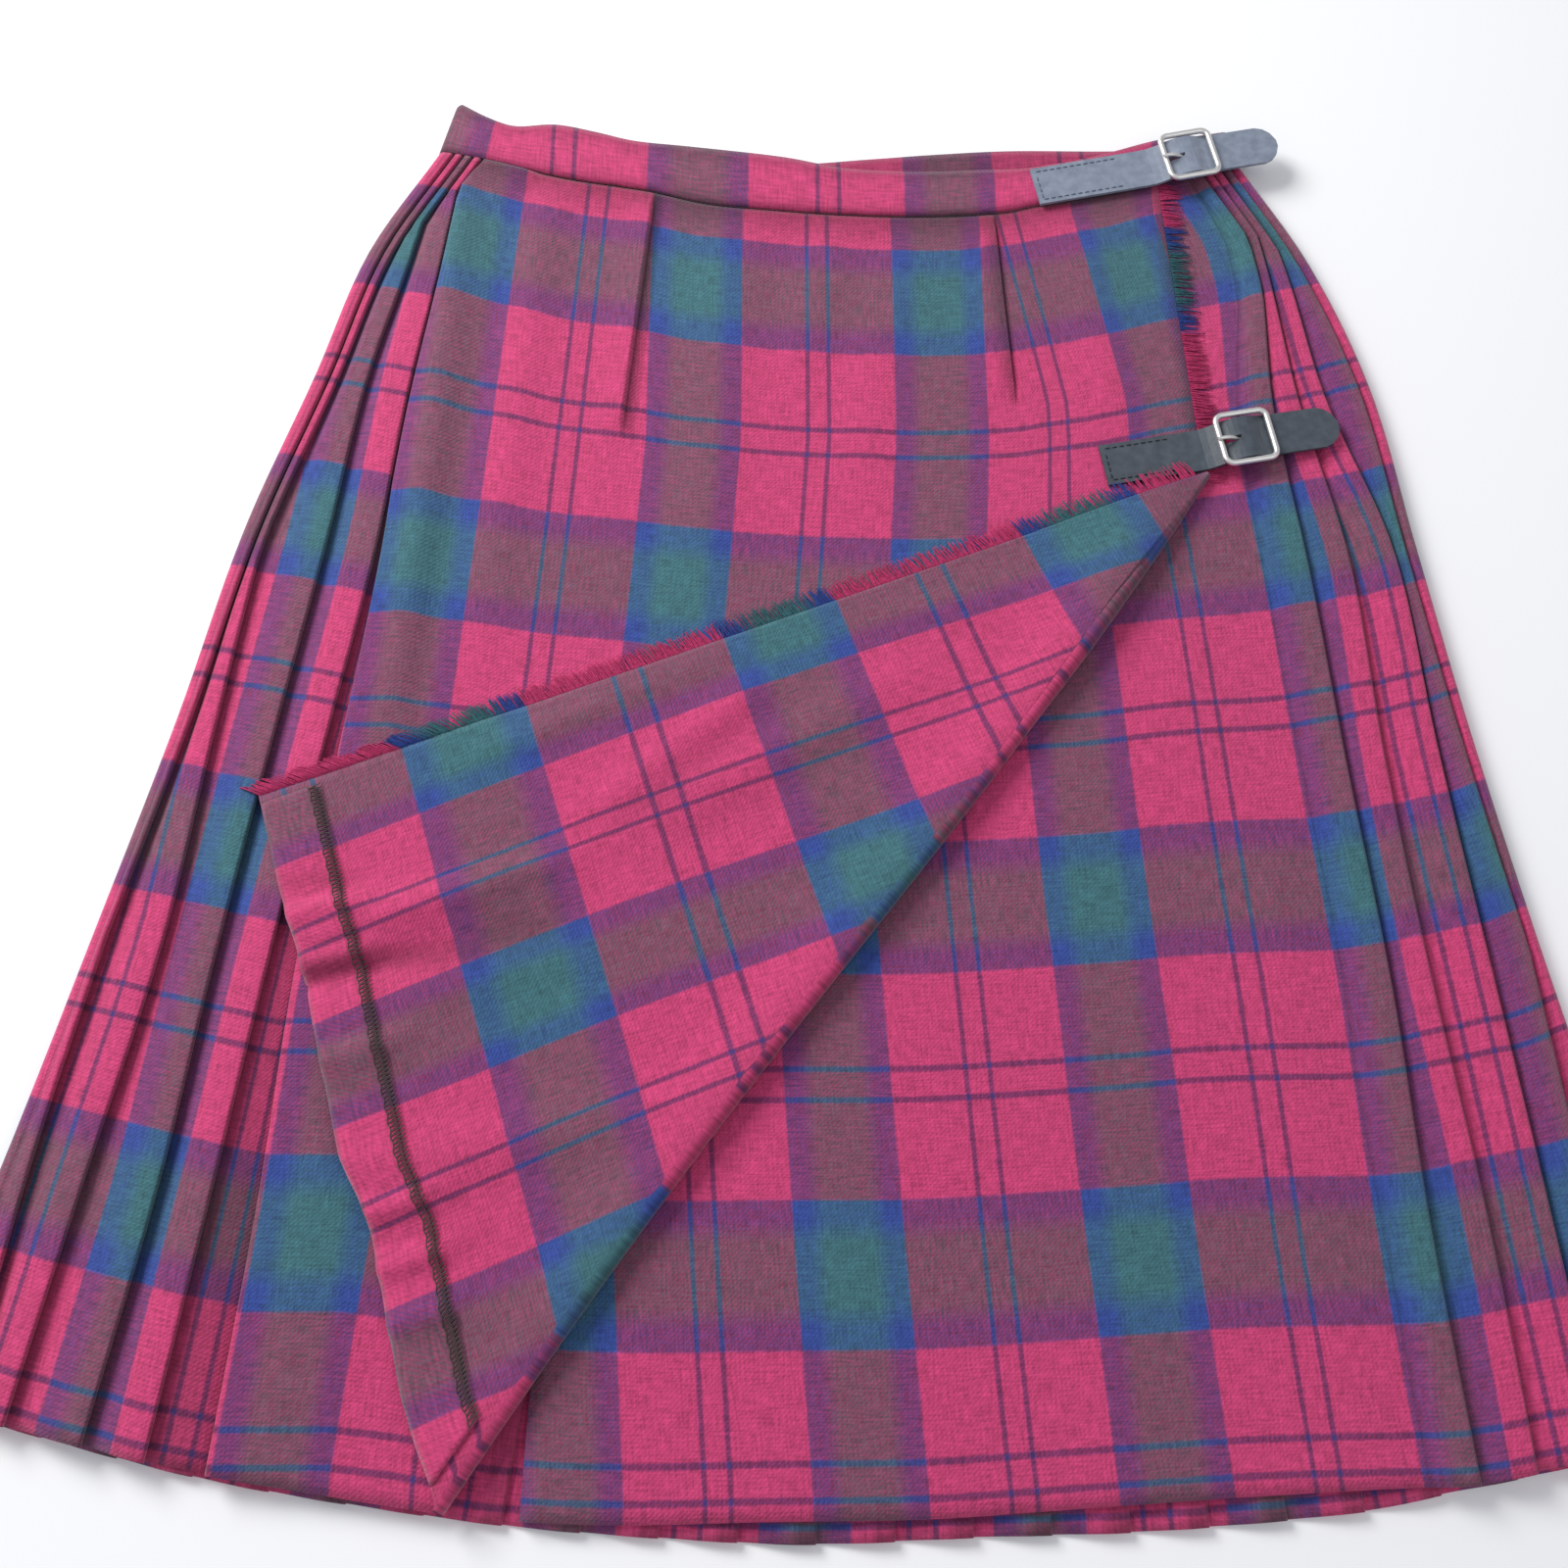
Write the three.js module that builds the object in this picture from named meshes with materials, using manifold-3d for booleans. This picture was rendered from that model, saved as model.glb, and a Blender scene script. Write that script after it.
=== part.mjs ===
// A pleated wrap skirt of checked wool, laid flat with its front up. Millimetres, +Z up,
// +X to the right of the garment as it is seen, +Y towards the waist.
import * as THREE from 'three';
import { mergeVertices } from 'three/addons/utils/BufferGeometryUtils.js';
import Module from 'manifold-3d';

const wasm = await Module();
wasm.setup();

// Cloth and how its layers lie on each other.
const CLOTH = 1.0;            // wall of one layer of wool
const STEP = 1.4;             // from one layer's middle to the next one's
const FLOOR_SNAP = 0.08;      // what is lower than this lies on the floor
const SEAM_GAP = 0.3;         // what parts two pieces along a seam
const WAIST_GAP = 0.6;        // between the waistband and what hangs from it
const PLEAT_CLOTH = 35.7;     // cloth in one pleat, a third of the check's repeat
const BACK_PLEATS = 23;
const MID_Z = 4.0;            // halfway between the front's layers and the back's
const FRONT = [MID_Z + 0.7, MID_Z + 0.7 + STEP, MID_Z + 0.7 + 2 * STEP];
const BACK = [MID_Z - 0.7, MID_Z - 0.7 - STEP, MID_Z - 0.7 - 2 * STEP];
const SIDE_RADIUS = FRONT[2] - MID_Z;
const MIN_PITCH = 4.3;        // nearest that two fold edges come at the waist
const RAMP = 2.8;             // room a pleat's face needs to climb over the next fold
const TURN = 0.8;             // how far a run goes past the fold under it
const RECESS = 16;            // depth of the inverted pleat beside the over apron

// Waistband, straps and buckles.
const BAND_WALL = 1.8;
const BAND_BACK_Z = 0.9;
const BAND_UNDER_Z = 5.0;
const BAND_OVER_Z = 7.1;
const STRAP_WALL = 1.4;
const STRAP_WIDE = 19;
const STRAP_BAR_Z = 13.9;
const TAB_WALL = 1.0;
const TAB_WIDE = 15;
const TAB_LONG = 21;
const TAB_Z = 8.8;
const BAR_Z = 10.4;
const BAR_RADIUS = 0.8;
const FRAME_LONG = 24;
const FRAME_TALL = 26.5;
const FRAME_TUBE = 0.95;
const FRAME_CORNER = 4;
const FRAME_RISE = 3.8;
const PRONG_TUBE = 0.6;
const WIRE_SIDES = 8;         // sides of a round wire, twice the segments of a half turn
const FRAME_STEPS = 56;
const PRONG_STEPS = 22;

// Fringes left by the threads drawn out of the over apron's edge.
const LOCK_PITCH = 4.4;
const LOCK_ROOT = 3.0;
const LOCK_TIP = 1.0;
const LOCK_WALL = 0.9;
const BACKING = 1.4;

// Rows down the skirt, 0 at the waist seam and 1 at the hem, with each line's x there.
const ROWS = [0, 0.1, 0.22, 0.36, 0.52, 0.68, 0.84, 1];
const LINES = {
  leftSide: [-157, -184.6, -202.6, -225.1, -242.9, -263.3, -284.2, -307.4],
  left1: [-157, -184.6, -202.6, -225.1, -240.9, -256.8, -273.1, -285.5],
  left2: [-157, -183.7, -199.9, -214.9, -226.0, -235.9, -252.8, -269.8],
  left3: [-154.2, -165.0, -179.5, -189.6, -202.8, -215.3, -226.5, -242.2],
  left4: [-144.6, -151.7, -161.2, -169.3, -182.5, -195.4, -207.4, -219.9],
  overLeft: [-144.6, -151.7, -160.7, -166.2, -175.7, -184.3, -189.8, -198.0],
  underLeft: [-70, -72, -75, -78, -81, -84, -87, -90.5],
  right1: [201.4, 209.2, 208.4, 215.5, 221.3, 228.1, 231.4, 237.7],
  right2: [204.0, 212.7, 219.7, 232.6, 236.6, 243.3, 252.0, 257.6],
  right3: [206.0, 220.4, 231.0, 251.3, 258.0, 266.3, 274.6, 282.4],
  right4: [206.4, 232.8, 252.3, 262.4, 274.1, 281.7, 289.4, 297.1],
  rightSide: [206.4, 232.8, 252.3, 262.4, 274.1, 288.1, 303.9, 319.8],
};

// Curves across the skirt, each a list of x, y.
const FRONT_WAIST = [[-157, 300], [-133, 295], [-100, 286], [-62, 279], [-35, 272], [-9, 269],
  [26, 266], [62, 265], [97, 267], [114, 271], [139, 276], [160, 283], [191, 290], [206, 293]];
const BACK_WAIST = [[-157, 300], [-120, 286], [-60, 274], [0, 271], [40, 274], [69, 276.5],
  [103, 278.5], [154, 278.5], [190, 284], [206, 293]];
const FRONT_HEM = [[-307, -227], [-264, -238], [-242, -243], [-220, -248], [-199, -252],
  [-127, -263], [-89, -267], [-54, -268], [-7, -267], [50, -266], [128, -261], [198, -257],
  [239, -255], [260, -251], [284, -246], [299, -243], [320, -233]];
const BACK_HEM = [[-307, -227], [-264, -239], [-199, -254], [-125, -265], [-77, -270],
  [-7, -274], [20, -274], [67, -272], [128, -270], [199, -264], [225, -259], [284, -247],
  [320, -233]];
const FRONT_TOP = [[-157, 324], [-152, 325], [-146, 321], [-130, 314.5], [-121, 313],
  [-104, 314], [-86, 310], [-68, 305], [-44, 302], [0, 296], [27, 290], [58, 288], [92, 289],
  [110, 290], [139, 296], [172, 306], [206, 312]];
const BACK_TOP = [[-157, 324], [-120, 310], [-60, 300], [0, 297], [40, 300], [69, 302.5],
  [103, 304.5], [154, 304.5], [190, 307], [206, 312]];

// The over apron's corner, turned back over a slanting fold.
const APEX_ROW = 0.276;
const APEX = [177, 134.5];
const FOLD_END = [-117, -263];
const FLAP_CORNER = [-205, -8];
const FOLD_BOW = 3.5;
const FRINGE_EDGE_TOP = 168;
const OVER_ROWS = [0, 0.1, 0.22, APEX_ROW, 0.3, 0.36, 0.44, 0.52, 0.6, 0.68, 0.76, 0.84, 0.92, 1];
const HEM_ALLOWANCE = 22;

// Where each strap starts and its buckle's bar stands: x, y, turn in degrees, whole length,
// distance to the bar, and the height of its sewn end.
const FASTENINGS = [
  { name: 'upper', x: 112.5, y: 278.5, turn: 11.5, long: 112, bar: 70.5, rest: 9.1 },
  { name: 'lower', x: 134.5, y: 138.5, turn: 9.9, long: 101, bar: 60, rest: 7.6 },
];

const FINISHES = {
  wool: { color: 0x9c3558, roughness: 0.9, metalness: 0 },
  fringe: { color: 0xb02a4c, roughness: 0.9, metalness: 0 },
  leather: { color: 0x3c4146, roughness: 0.5, metalness: 0 },
  nickel: { color: 0xc9c9c6, roughness: 0.2, metalness: 1 },
};

/** y of a curve at x, straight between the points given. */
function along(curve, x) {
  const last = curve.length - 1;
  if (x <= curve[0][0]) return curve[0][1];
  if (x >= curve[last][0]) return curve[last][1];
  let i = 0;
  while (x > curve[i + 1][0]) i += 1;
  const share = (x - curve[i][0]) / (curve[i + 1][0] - curve[i][0]);
  return curve[i][1] + share * (curve[i + 1][1] - curve[i][1]);
}

/** y of a smooth curve at x, through the points given. */
function curve(points, x) {
  const last = points.length - 1;
  if (x <= points[0][0]) return points[0][1];
  if (x >= points[last][0]) return points[last][1];
  let i = 0;
  while (x > points[i + 1][0]) i += 1;
  const slope = (k) => {
    const a = points[Math.max(0, k - 1)];
    const b = points[Math.min(last, k + 1)];
    return (b[1] - a[1]) / (b[0] - a[0]);
  };
  const wide = points[i + 1][0] - points[i][0];
  const t = (x - points[i][0]) / wide;
  return (1 + 2 * t) * (1 - t) ** 2 * points[i][1] + t * (1 - t) ** 2 * wide * slope(i)
    + t * t * (3 - 2 * t) * points[i + 1][1] - t * t * (1 - t) * wide * slope(i + 1);
}

/** x of a named line at a row. */
function lineAt(name, row) {
  return along(ROWS.map((r, i) => [r, LINES[name][i]]), row);
}

function mix(a, b, share) {
  return a + (b - a) * share;
}

function smooth(from, to, x) {
  const t = Math.min(1, Math.max(0, (x - from) / (to - from)));
  return t * t * (3 - 2 * t);
}

/** y of a point of the front or the back, from its x and its row. */
function yAt(face, x, row) {
  const left = lineAt('leftSide', row);
  const right = lineAt('rightSide', row);
  const share = Math.min(1, Math.max(0, (x - left) / (right - left)));
  const top = curve(face === 'front' ? FRONT_WAIST : BACK_WAIST,
    mix(LINES.leftSide[0], LINES.rightSide[0], share));
  const low = curve(face === 'front' ? FRONT_HEM : BACK_HEM,
    mix(LINES.leftSide[7], LINES.rightSide[7], share));
  return mix(top - WAIST_GAP, low, row);
}

/** Fold lines of one of the rows, kept far enough apart for the cloth's wall. */
function foldsOf(row) {
  const at = (name) => lineAt(name, row);
  const leftBend = at('leftSide') + SIDE_RADIUS + CLOTH / 2;
  const rightBend = at('rightSide') - SIDE_RADIUS - CLOTH / 2;
  const left = [Math.max(at('left1'), leftBend + 2.7)];
  for (const name of ['left2', 'left3', 'left4']) {
    left.push(Math.max(at(name), left[left.length - 1] + MIN_PITCH));
  }
  const right = [Math.min(at('right4'), rightBend - 2.3)];
  for (const name of ['right3', 'right2', 'right1']) {
    right.unshift(Math.min(at(name), right[0] - MIN_PITCH));
  }
  const pitch = (rightBend - leftBend) / BACK_PLEATS;
  const back = Array.from({ length: BACK_PLEATS }, (_, k) => rightBend - pitch * (k + 0.5));
  const overLeft = Math.max(at('overLeft'), left[3] + 1.8);
  return { leftBend, rightBend, left, right, back, pitch, overLeft, recess: overLeft + RECESS };
}

/** Fold lines at any height, straight between the rows. */
function folds(row) {
  let i = 0;
  while (i + 2 < ROWS.length && row > ROWS[i + 1]) i += 1;
  const share = (row - ROWS[i]) / (ROWS[i + 1] - ROWS[i]);
  const [a, b] = [foldsOf(ROWS[i]), foldsOf(ROWS[i + 1])];
  const between = (m, n) => (Array.isArray(m)
    ? m.map((value, k) => mix(value, n[k], share)) : mix(m, n, share));
  return Object.fromEntries(Object.keys(a).map((key) => [key, between(a[key], b[key])]));
}

/** How deep the cloth is folded under, from the distance to the fold before. */
function depth(pitch) {
  return Math.max(1.5, Math.min((PLEAT_CLOTH - pitch) / 2, pitch - RAMP, pitch * 0.55));
}

/** Depth of the back's first pleat, which has only half a pitch to the side's turn. */
function firstBackDepth(f) {
  return Math.min(depth(f.pitch), f.pitch / 2 - TURN - SEAM_GAP);
}

/** One knife pleat of a row: out over the fold, back under it, and out again below. */
function pleat(face, fold, deep, way) {
  const [low, middle, high] = face === 'front' ? FRONT : BACK;
  return [
    { face, x: fold - way * (deep + TURN), z: high },
    { face, x: fold, z: high },
    { face, x: fold, z: middle },
    { face, x: fold - way * deep, z: middle },
    { face, x: fold - way * deep, z: low },
    { face, x: fold + way * TURN, z: low },
  ];
}

/** The half turn round the skirt's side, from the front to the back or the other way. */
function sideTurn(x, way, fromFront) {
  const angles = fromFront ? [90, 45, 0, -45, -90] : [-90, -45, 0, 45, 90];
  return angles.map((deg) => {
    const a = deg * Math.PI / 180;
    return {
      face: deg > 0 ? 'front' : 'back',
      x: x + way * SIDE_RADIUS * Math.cos(a),
      z: MID_Z + SIDE_RADIUS * Math.sin(a),
    };
  });
}

function place(point, row) {
  return [point.x, yAt(point.face, point.x, row), point.z];
}

/** A closed solid of even wall from a surface given as points and faces, flat on the floor. */
function thicken(name, points, faces, wall, finish) {
  const normals = points.map(() => new THREE.Vector3());
  const weights = points.map(() => 0);
  const p = points.map((q) => new THREE.Vector3(...q));
  const tris = [];
  for (const face of faces) {
    for (let i = 1; i + 1 < face.length; i += 1) tris.push([face[0], face[i], face[i + 1]]);
  }
  for (const [a, b, c] of tris) {
    const n = new THREE.Vector3().crossVectors(p[b].clone().sub(p[a]), p[c].clone().sub(p[a]));
    n.normalize();
    for (const [k, m, o] of [[a, b, c], [b, c, a], [c, a, b]]) {
      const angle = p[m].clone().sub(p[k]).angleTo(p[o].clone().sub(p[k]));
      normals[k].addScaledVector(n, angle);
      weights[k] += angle;
    }
  }
  const count = points.length;
  const verts = [];
  for (const side of [0.5, -0.5]) {
    for (let k = 0; k < count; k += 1) {
      const full = normals[k].length() / weights[k];
      const reach = wall * side * Math.min(1.42, 1 / Math.max(full, 0.1));
      const q = p[k].clone().addScaledVector(normals[k].clone().normalize(), reach);
      verts.push(q.x, q.y, q.z < FLOOR_SNAP ? 0 : q.z);
    }
  }
  const index = [];
  const edges = new Map();
  for (const [a, b, c] of tris) {
    index.push(a, b, c, c + count, b + count, a + count);
    for (const [m, n] of [[a, b], [b, c], [c, a]]) edges.set(`${m},${n}`, [m, n]);
  }
  for (const [m, n] of edges.values()) {
    if (!edges.has(`${n},${m}`)) index.push(n, m, m + count, n, m + count, n + count);
  }
  return mesh(name, verts, index, finish);
}

function mesh(name, verts, index, finish) {
  const geometry = new THREE.BufferGeometry();
  geometry.setAttribute('position', new THREE.Float32BufferAttribute(verts, 3));
  geometry.setIndex(index);
  geometry.computeVertexNormals();
  const solid = new THREE.Mesh(geometry, new THREE.MeshStandardMaterial(finish));
  solid.name = name;
  return solid;
}

/** Faces of a grid of rows by columns; the winding looks up where x grows and y falls. */
function gridFaces(rows, columns) {
  const faces = [];
  for (let i = 0; i + 1 < rows; i += 1) {
    for (let j = 0; j + 1 < columns; j += 1) {
      const a = i * columns + j;
      faces.push([a, a + columns, a + columns + 1, a + 1]);
    }
  }
  return faces;
}

/** A cloth solid from a function that gives one row's section. */
function clothFrom(name, rows, section) {
  const grid = rows.map((row) => section(row).map((point) => place(point, row)));
  return thicken(name, grid.flat(), gridFaces(rows.length, grid[0].length), CLOTH,
    FINISHES.wool);
}

/** The under apron: from its free edge to the first fold at the right and back under it. */
function underApron(row) {
  const f = folds(row);
  const first = f.right[0];
  const deep = depth(f.right[1] - f.right[0]);
  const climb = row === 0 ? 3.5 : 8;
  const from = lineAt('underLeft', row);
  const to = first - deep - TURN - climb;
  const points = [0, 0.15, 0.3, 0.45, 0.6, 0.75, 0.9, 1].map((share) => ({
    face: 'front', x: mix(from, to, share), z: FRONT[0],
  }));
  points.push(...pleat('front', first, deep, 1).slice(0, 5));
  points.push({ face: 'front', x: first - 0.6 * deep, z: FRONT[0] });
  return points;
}

/** Three knife pleats at the right and the turn round that side. */
function rightPleats(row) {
  const f = folds(row);
  const deep = depth(f.right[1] - f.right[0]);
  const points = [
    { face: 'front', x: f.right[0] - 0.6 * deep + SEAM_GAP, z: FRONT[0] },
    { face: 'front', x: f.right[0] + TURN, z: FRONT[0] },
  ];
  for (let k = 1; k < 4; k += 1) {
    points.push(...pleat('front', f.right[k], depth(f.right[k] - f.right[k - 1]), 1));
  }
  points.push(...sideTurn(f.rightBend, 1, true));
  const first = firstBackDepth(f);
  points.push(...pleat('back', f.back[0], first, -1).slice(0, 5));
  points.push({ face: 'back', x: f.back[0] + 0.4 * first, z: BACK[0] });
  return points;
}

/** The pleats across the back, seen from outside only from below. */
function backPleats(row) {
  const f = folds(row);
  const deep = depth(f.pitch);
  const points = [
    { face: 'back', x: f.back[0] + 0.4 * firstBackDepth(f) - SEAM_GAP, z: BACK[0] },
    { face: 'back', x: f.back[0] - TURN, z: BACK[0] },
  ];
  for (let k = 1; k < BACK_PLEATS; k += 1) points.push(...pleat('back', f.back[k], deep, -1));
  const last = f.back[BACK_PLEATS - 1];
  points.pop();
  points.push({ face: 'back', x: last + 0.4 * deep, z: BACK[0] });
  return points;
}

/** The turn round the left side, four knife pleats and the recess beside the over apron. */
function leftPleats(row) {
  const f = folds(row);
  const deep = depth(f.pitch);
  const last = f.back[BACK_PLEATS - 1];
  const points = [
    { face: 'back', x: last + 0.4 * deep - SEAM_GAP, z: BACK[0] },
    { face: 'back', x: last - TURN, z: BACK[0] },
    ...sideTurn(f.leftBend, -1, false),
  ];
  let before = f.leftBend - 1;
  for (const fold of f.left) {
    points.push(...pleat('front', fold, depth(fold - before), 1));
    before = fold;
  }
  points.push({ face: 'front', x: f.recess - 3, z: FRONT[0] });
  return points;
}

/** Height of the turned-back corner over what it lies on. */
function flapZ(x) {
  return FRONT[2] + 2.1 * smooth(90, 132, x) + 1.4 * smooth(-96, -136, x);
}

/** The slanting fold, at a share of its way from the apex to the hem. */
function foldPoint(share) {
  return [
    mix(APEX[0], FOLD_END[0], share) + FOLD_BOW * Math.sin(2 * Math.PI * share),
    mix(APEX[1], FOLD_END[1], share),
  ];
}

function foldShare(row) {
  let low = 0;
  let high = 1;
  for (let i = 0; i < 40; i += 1) {
    const middle = (low + high) / 2;
    const [x, y] = foldPoint(middle);
    if (y > yAt('front', x, row)) low = middle;
    else high = middle;
  }
  return (low + high) / 2;
}

function flapEdge(share) {
  return [mix(APEX[0], FLAP_CORNER[0], share), mix(APEX[1], FLAP_CORNER[1], share)];
}

/** Where the over apron's flat part has its columns. */
function overStations(from, end) {
  return [0, 0.12, 0.25, 0.38, 0.51, 0.64, 0.76, 0.88, 1].map((s) => mix(from, end, s));
}

const FLAP_STEPS = [0.12, 0.3, 0.5, 0.7, 0.88, 1];

/** The over apron with its corner turned back, one cloth stitched along the fold's rows. */
function overApron() {
  const points = [];
  const faces = [];
  const kept = [];
  const flap = [];
  for (const row of OVER_ROWS) {
    const f = folds(row);
    const share = row <= APEX_ROW ? 0 : foldShare(row);
    const end = row <= APEX_ROW
      ? mix(FRINGE_EDGE_TOP, APEX[0], row / APEX_ROW) : foldPoint(share)[0];
    const section = [
      [f.recess - 3 + SEAM_GAP, FRONT[0]], [f.recess, FRONT[0]], [f.recess, FRONT[1]],
      [f.overLeft, FRONT[1]], [f.overLeft, FRONT[2]], [f.recess + TURN, FRONT[2]],
    ];
    const from = f.recess + 12;
    for (const x of overStations(from, end)) section.push([x, FRONT[1]]);
    kept.push(section.map(([x, z]) => {
      points.push([x, row === APEX_ROW && x === end ? APEX[1] : yAt('front', x, row), z]);
      return points.length - 1;
    }));
    if (row < APEX_ROW) continue;
    const start = points[points.length - 1];
    const edge = flapEdge(share);
    const roll = (flapZ(start[0]) - FRONT[1]) / 2;
    const strip = [kept[kept.length - 1].at(-1)];
    const away = [-(FOLD_END[1] - APEX[1]), FOLD_END[0] - APEX[0]];
    const size = Math.hypot(...away);
    for (const [out, up] of [[0.7, 0.3], [1, 1], [0.7, 1.7]]) {
      points.push([
        start[0] + away[0] / size * roll * out,
        start[1] + away[1] / size * roll * out,
        FRONT[1] + roll * up,
      ]);
      strip.push(points.length - 1);
    }
    for (const s of row === APEX_ROW ? [0] : [0.02, ...FLAP_STEPS]) {
      const x = mix(start[0], edge[0], s);
      points.push([x, mix(start[1], edge[1], s), flapZ(x)]);
      strip.push(points.length - 1);
    }
    flap.push(strip);
  }
  for (const band of [kept, flap]) {
    for (let i = 0; i + 1 < band.length; i += 1) {
      const [a, b] = [band[i], band[i + 1]];
      for (let j = 0; j + 1 < a.length; j += 1) faces.push([a[j], b[j], b[j + 1], a[j + 1]]);
      for (let j = a.length - 1; j + 1 < b.length; j += 1) faces.push([a.at(-1), b[j], b[j + 1]]);
    }
  }
  return thicken('over_apron', points, faces, CLOTH, FINISHES.wool);
}

/** The hem turned up onto the wrong side, which shows along the turned-back corner. */
function hemTurnup() {
  const along01 = [0.1, 0.22, 0.34, 0.46, 0.58, 0.7, 0.82, 0.94];
  const points = [];
  const inward = [FLAP_CORNER[0] - APEX[0], FLAP_CORNER[1] - APEX[1]];
  const size = Math.hypot(...inward);
  for (const s of along01) {
    for (const t of [0.5, HEM_ALLOWANCE / 2, HEM_ALLOWANCE]) {
      const x = mix(FOLD_END[0], FLAP_CORNER[0], s) - inward[0] / size * t;
      const y = mix(FOLD_END[1], FLAP_CORNER[1], s) - inward[1] / size * t;
      points.push([x, y, flapZ(x) + CLOTH + SEAM_GAP + 0.15]);
    }
  }
  const faces = gridFaces(along01.length, 3).map((face) => face.reverse());
  return thicken('apron_hem_turnup', points, faces, CLOTH, FINISHES.wool);
}

/** The waistband: one strip from the over apron's end round the back to the under apron's. */
function waistband() {
  const bottom = [];
  const top = [];
  const put = (face, x, z) => {
    const lean = 6 * (1 - smooth(-157, -110, x)) - 3 * smooth(170, 206, x);
    bottom.push([x, curve(face === 'front' ? FRONT_WAIST : BACK_WAIST, x), z]);
    top.push([x + lean, curve(face === 'front' ? FRONT_TOP : BACK_TOP, x), z]);
  };
  const over = [...overStations(folds(0).recess + 12, FRINGE_EDGE_TOP)].reverse();
  for (const x of [171.5, ...over, -116, -126, -134, -145]) put('front', x, BAND_OVER_Z);
  const left = (BAND_OVER_Z - BAND_BACK_Z) / 2;
  for (const deg of [90, 45, 0, -45, -90]) {
    const a = deg * Math.PI / 180;
    put(deg > 0 ? 'front' : 'back', -157 + 0.9 + left - left * Math.cos(a),
      BAND_BACK_Z + left + left * Math.sin(a));
  }
  for (const x of [...folds(0).back].reverse()) put('back', x, BAND_BACK_Z);
  const right = (BAND_UNDER_Z - BAND_BACK_Z) / 2;
  for (const deg of [-90, -30, 30, 90]) {
    const a = deg * Math.PI / 180;
    put(deg > 0 ? 'front' : 'back', 206 - 0.9 - right + right * Math.cos(a),
      BAND_BACK_Z + right + right * Math.sin(a));
  }
  const under = underApron(0).slice(0, 8).map((point) => point.x);
  for (const x of under.reverse()) put('front', x, BAND_UNDER_Z);
  const faces = gridFaces(2, bottom.length);
  return thicken('waistband', [...top, ...bottom], faces.map((f) => f.reverse()),
    BAND_WALL, FINISHES.wool);
}

/** A row of tapering locks with their roots in a narrow backing. */
function fringe(name, from, to, out, reach, heightAt) {
  const size = Math.hypot(to[0] - from[0], to[1] - from[1]);
  const count = Math.floor(size / LOCK_PITCH);
  const points = [];
  const put = (s, away) => {
    const x = mix(from[0], to[0], s) + out[0] * away;
    const y = mix(from[1], to[1], s) + out[1] * away;
    points.push([x, y, heightAt(mix(from[0], to[0], s))]);
    return points.length - 1;
  };
  const faces = [];
  let before = null;
  for (let i = 0; i < count; i += 1) {
    const middle = (i + 0.5) / count;
    const half = LOCK_ROOT / 2 / size;
    const tip = LOCK_TIP / 2 / size;
    const lean = (i % 3 - 1) * 0.35 / size;
    const long = reach - 0.6 * (i % 2) - 0.5 * (i % 5 === 0 ? 1 : 0);
    const c = put(middle - half, SEAM_GAP);
    const d = put(middle + half, SEAM_GAP);
    const a = put(middle - half, SEAM_GAP + BACKING);
    const b = put(middle + half, SEAM_GAP + BACKING);
    const e = put(middle - tip + lean, long);
    const f = put(middle + tip + lean, long);
    faces.push([c, a, b, d], [a, e, f, b]);
    if (before) faces.push([before.d, before.b, a, c]);
    before = { d, b };
  }
  return thicken(name, points, faces, LOCK_WALL, FINISHES.fringe);
}

/** Turns a fastening's own lengths (along, across, up) into the skirt's frame. */
function seat(fastening, [u, v, z]) {
  const a = fastening.turn * Math.PI / 180;
  return [
    fastening.x + u * Math.cos(a) - v * Math.sin(a),
    fastening.y + u * Math.sin(a) + v * Math.cos(a),
    z,
  ];
}

function toManifold(geometry) {
  const position = geometry.getAttribute('position');
  return new wasm.Manifold(new wasm.Mesh({
    numProp: 3,
    vertProperties: Float32Array.from(position.array),
    triVerts: Uint32Array.from(geometry.getIndex().array),
  }));
}

function fromManifold(name, body, finish) {
  const m = body.getMesh();
  return mesh(name, Array.from(m.vertProperties), Array.from(m.triVerts), finish);
}

/** A geometry with its shared corners merged, so that it is one closed body. */
function merged(geometry) {
  geometry.deleteAttribute('normal');
  geometry.deleteAttribute('uv');
  return mergeVertices(geometry, 1e-3);
}

/** A round wire along a curve, with flat ends. */
function wire(path, radius, steps) {
  const section = new THREE.Shape().absarc(0, 0, radius, 0, 2 * Math.PI);
  return merged(new THREE.ExtrudeGeometry(section, {
    extrudePath: path, steps, curveSegments: WIRE_SIDES / 2, bevelEnabled: false,
  }));
}

/** A block that cuts a fastening's slot, given by its sizes and its place on the fastening. */
function slotCutter(f, sizes, place) {
  const block = merged(new THREE.BoxGeometry(...sizes));
  block.rotateZ(f.turn * Math.PI / 180);
  block.translate(...seat(f, place));
  return toManifold(block);
}

/** Height of a strap's middle at a distance from the bar: low before it, over it, low after. */
function strapZ(rest, u) {
  if (u < 0) return mix(rest, STRAP_BAR_Z, smooth(-19, -1, u));
  return mix(STRAP_BAR_Z, 11.6, smooth(1, 9, u)) - 0.6 * smooth(23, 42, u);
}

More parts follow.
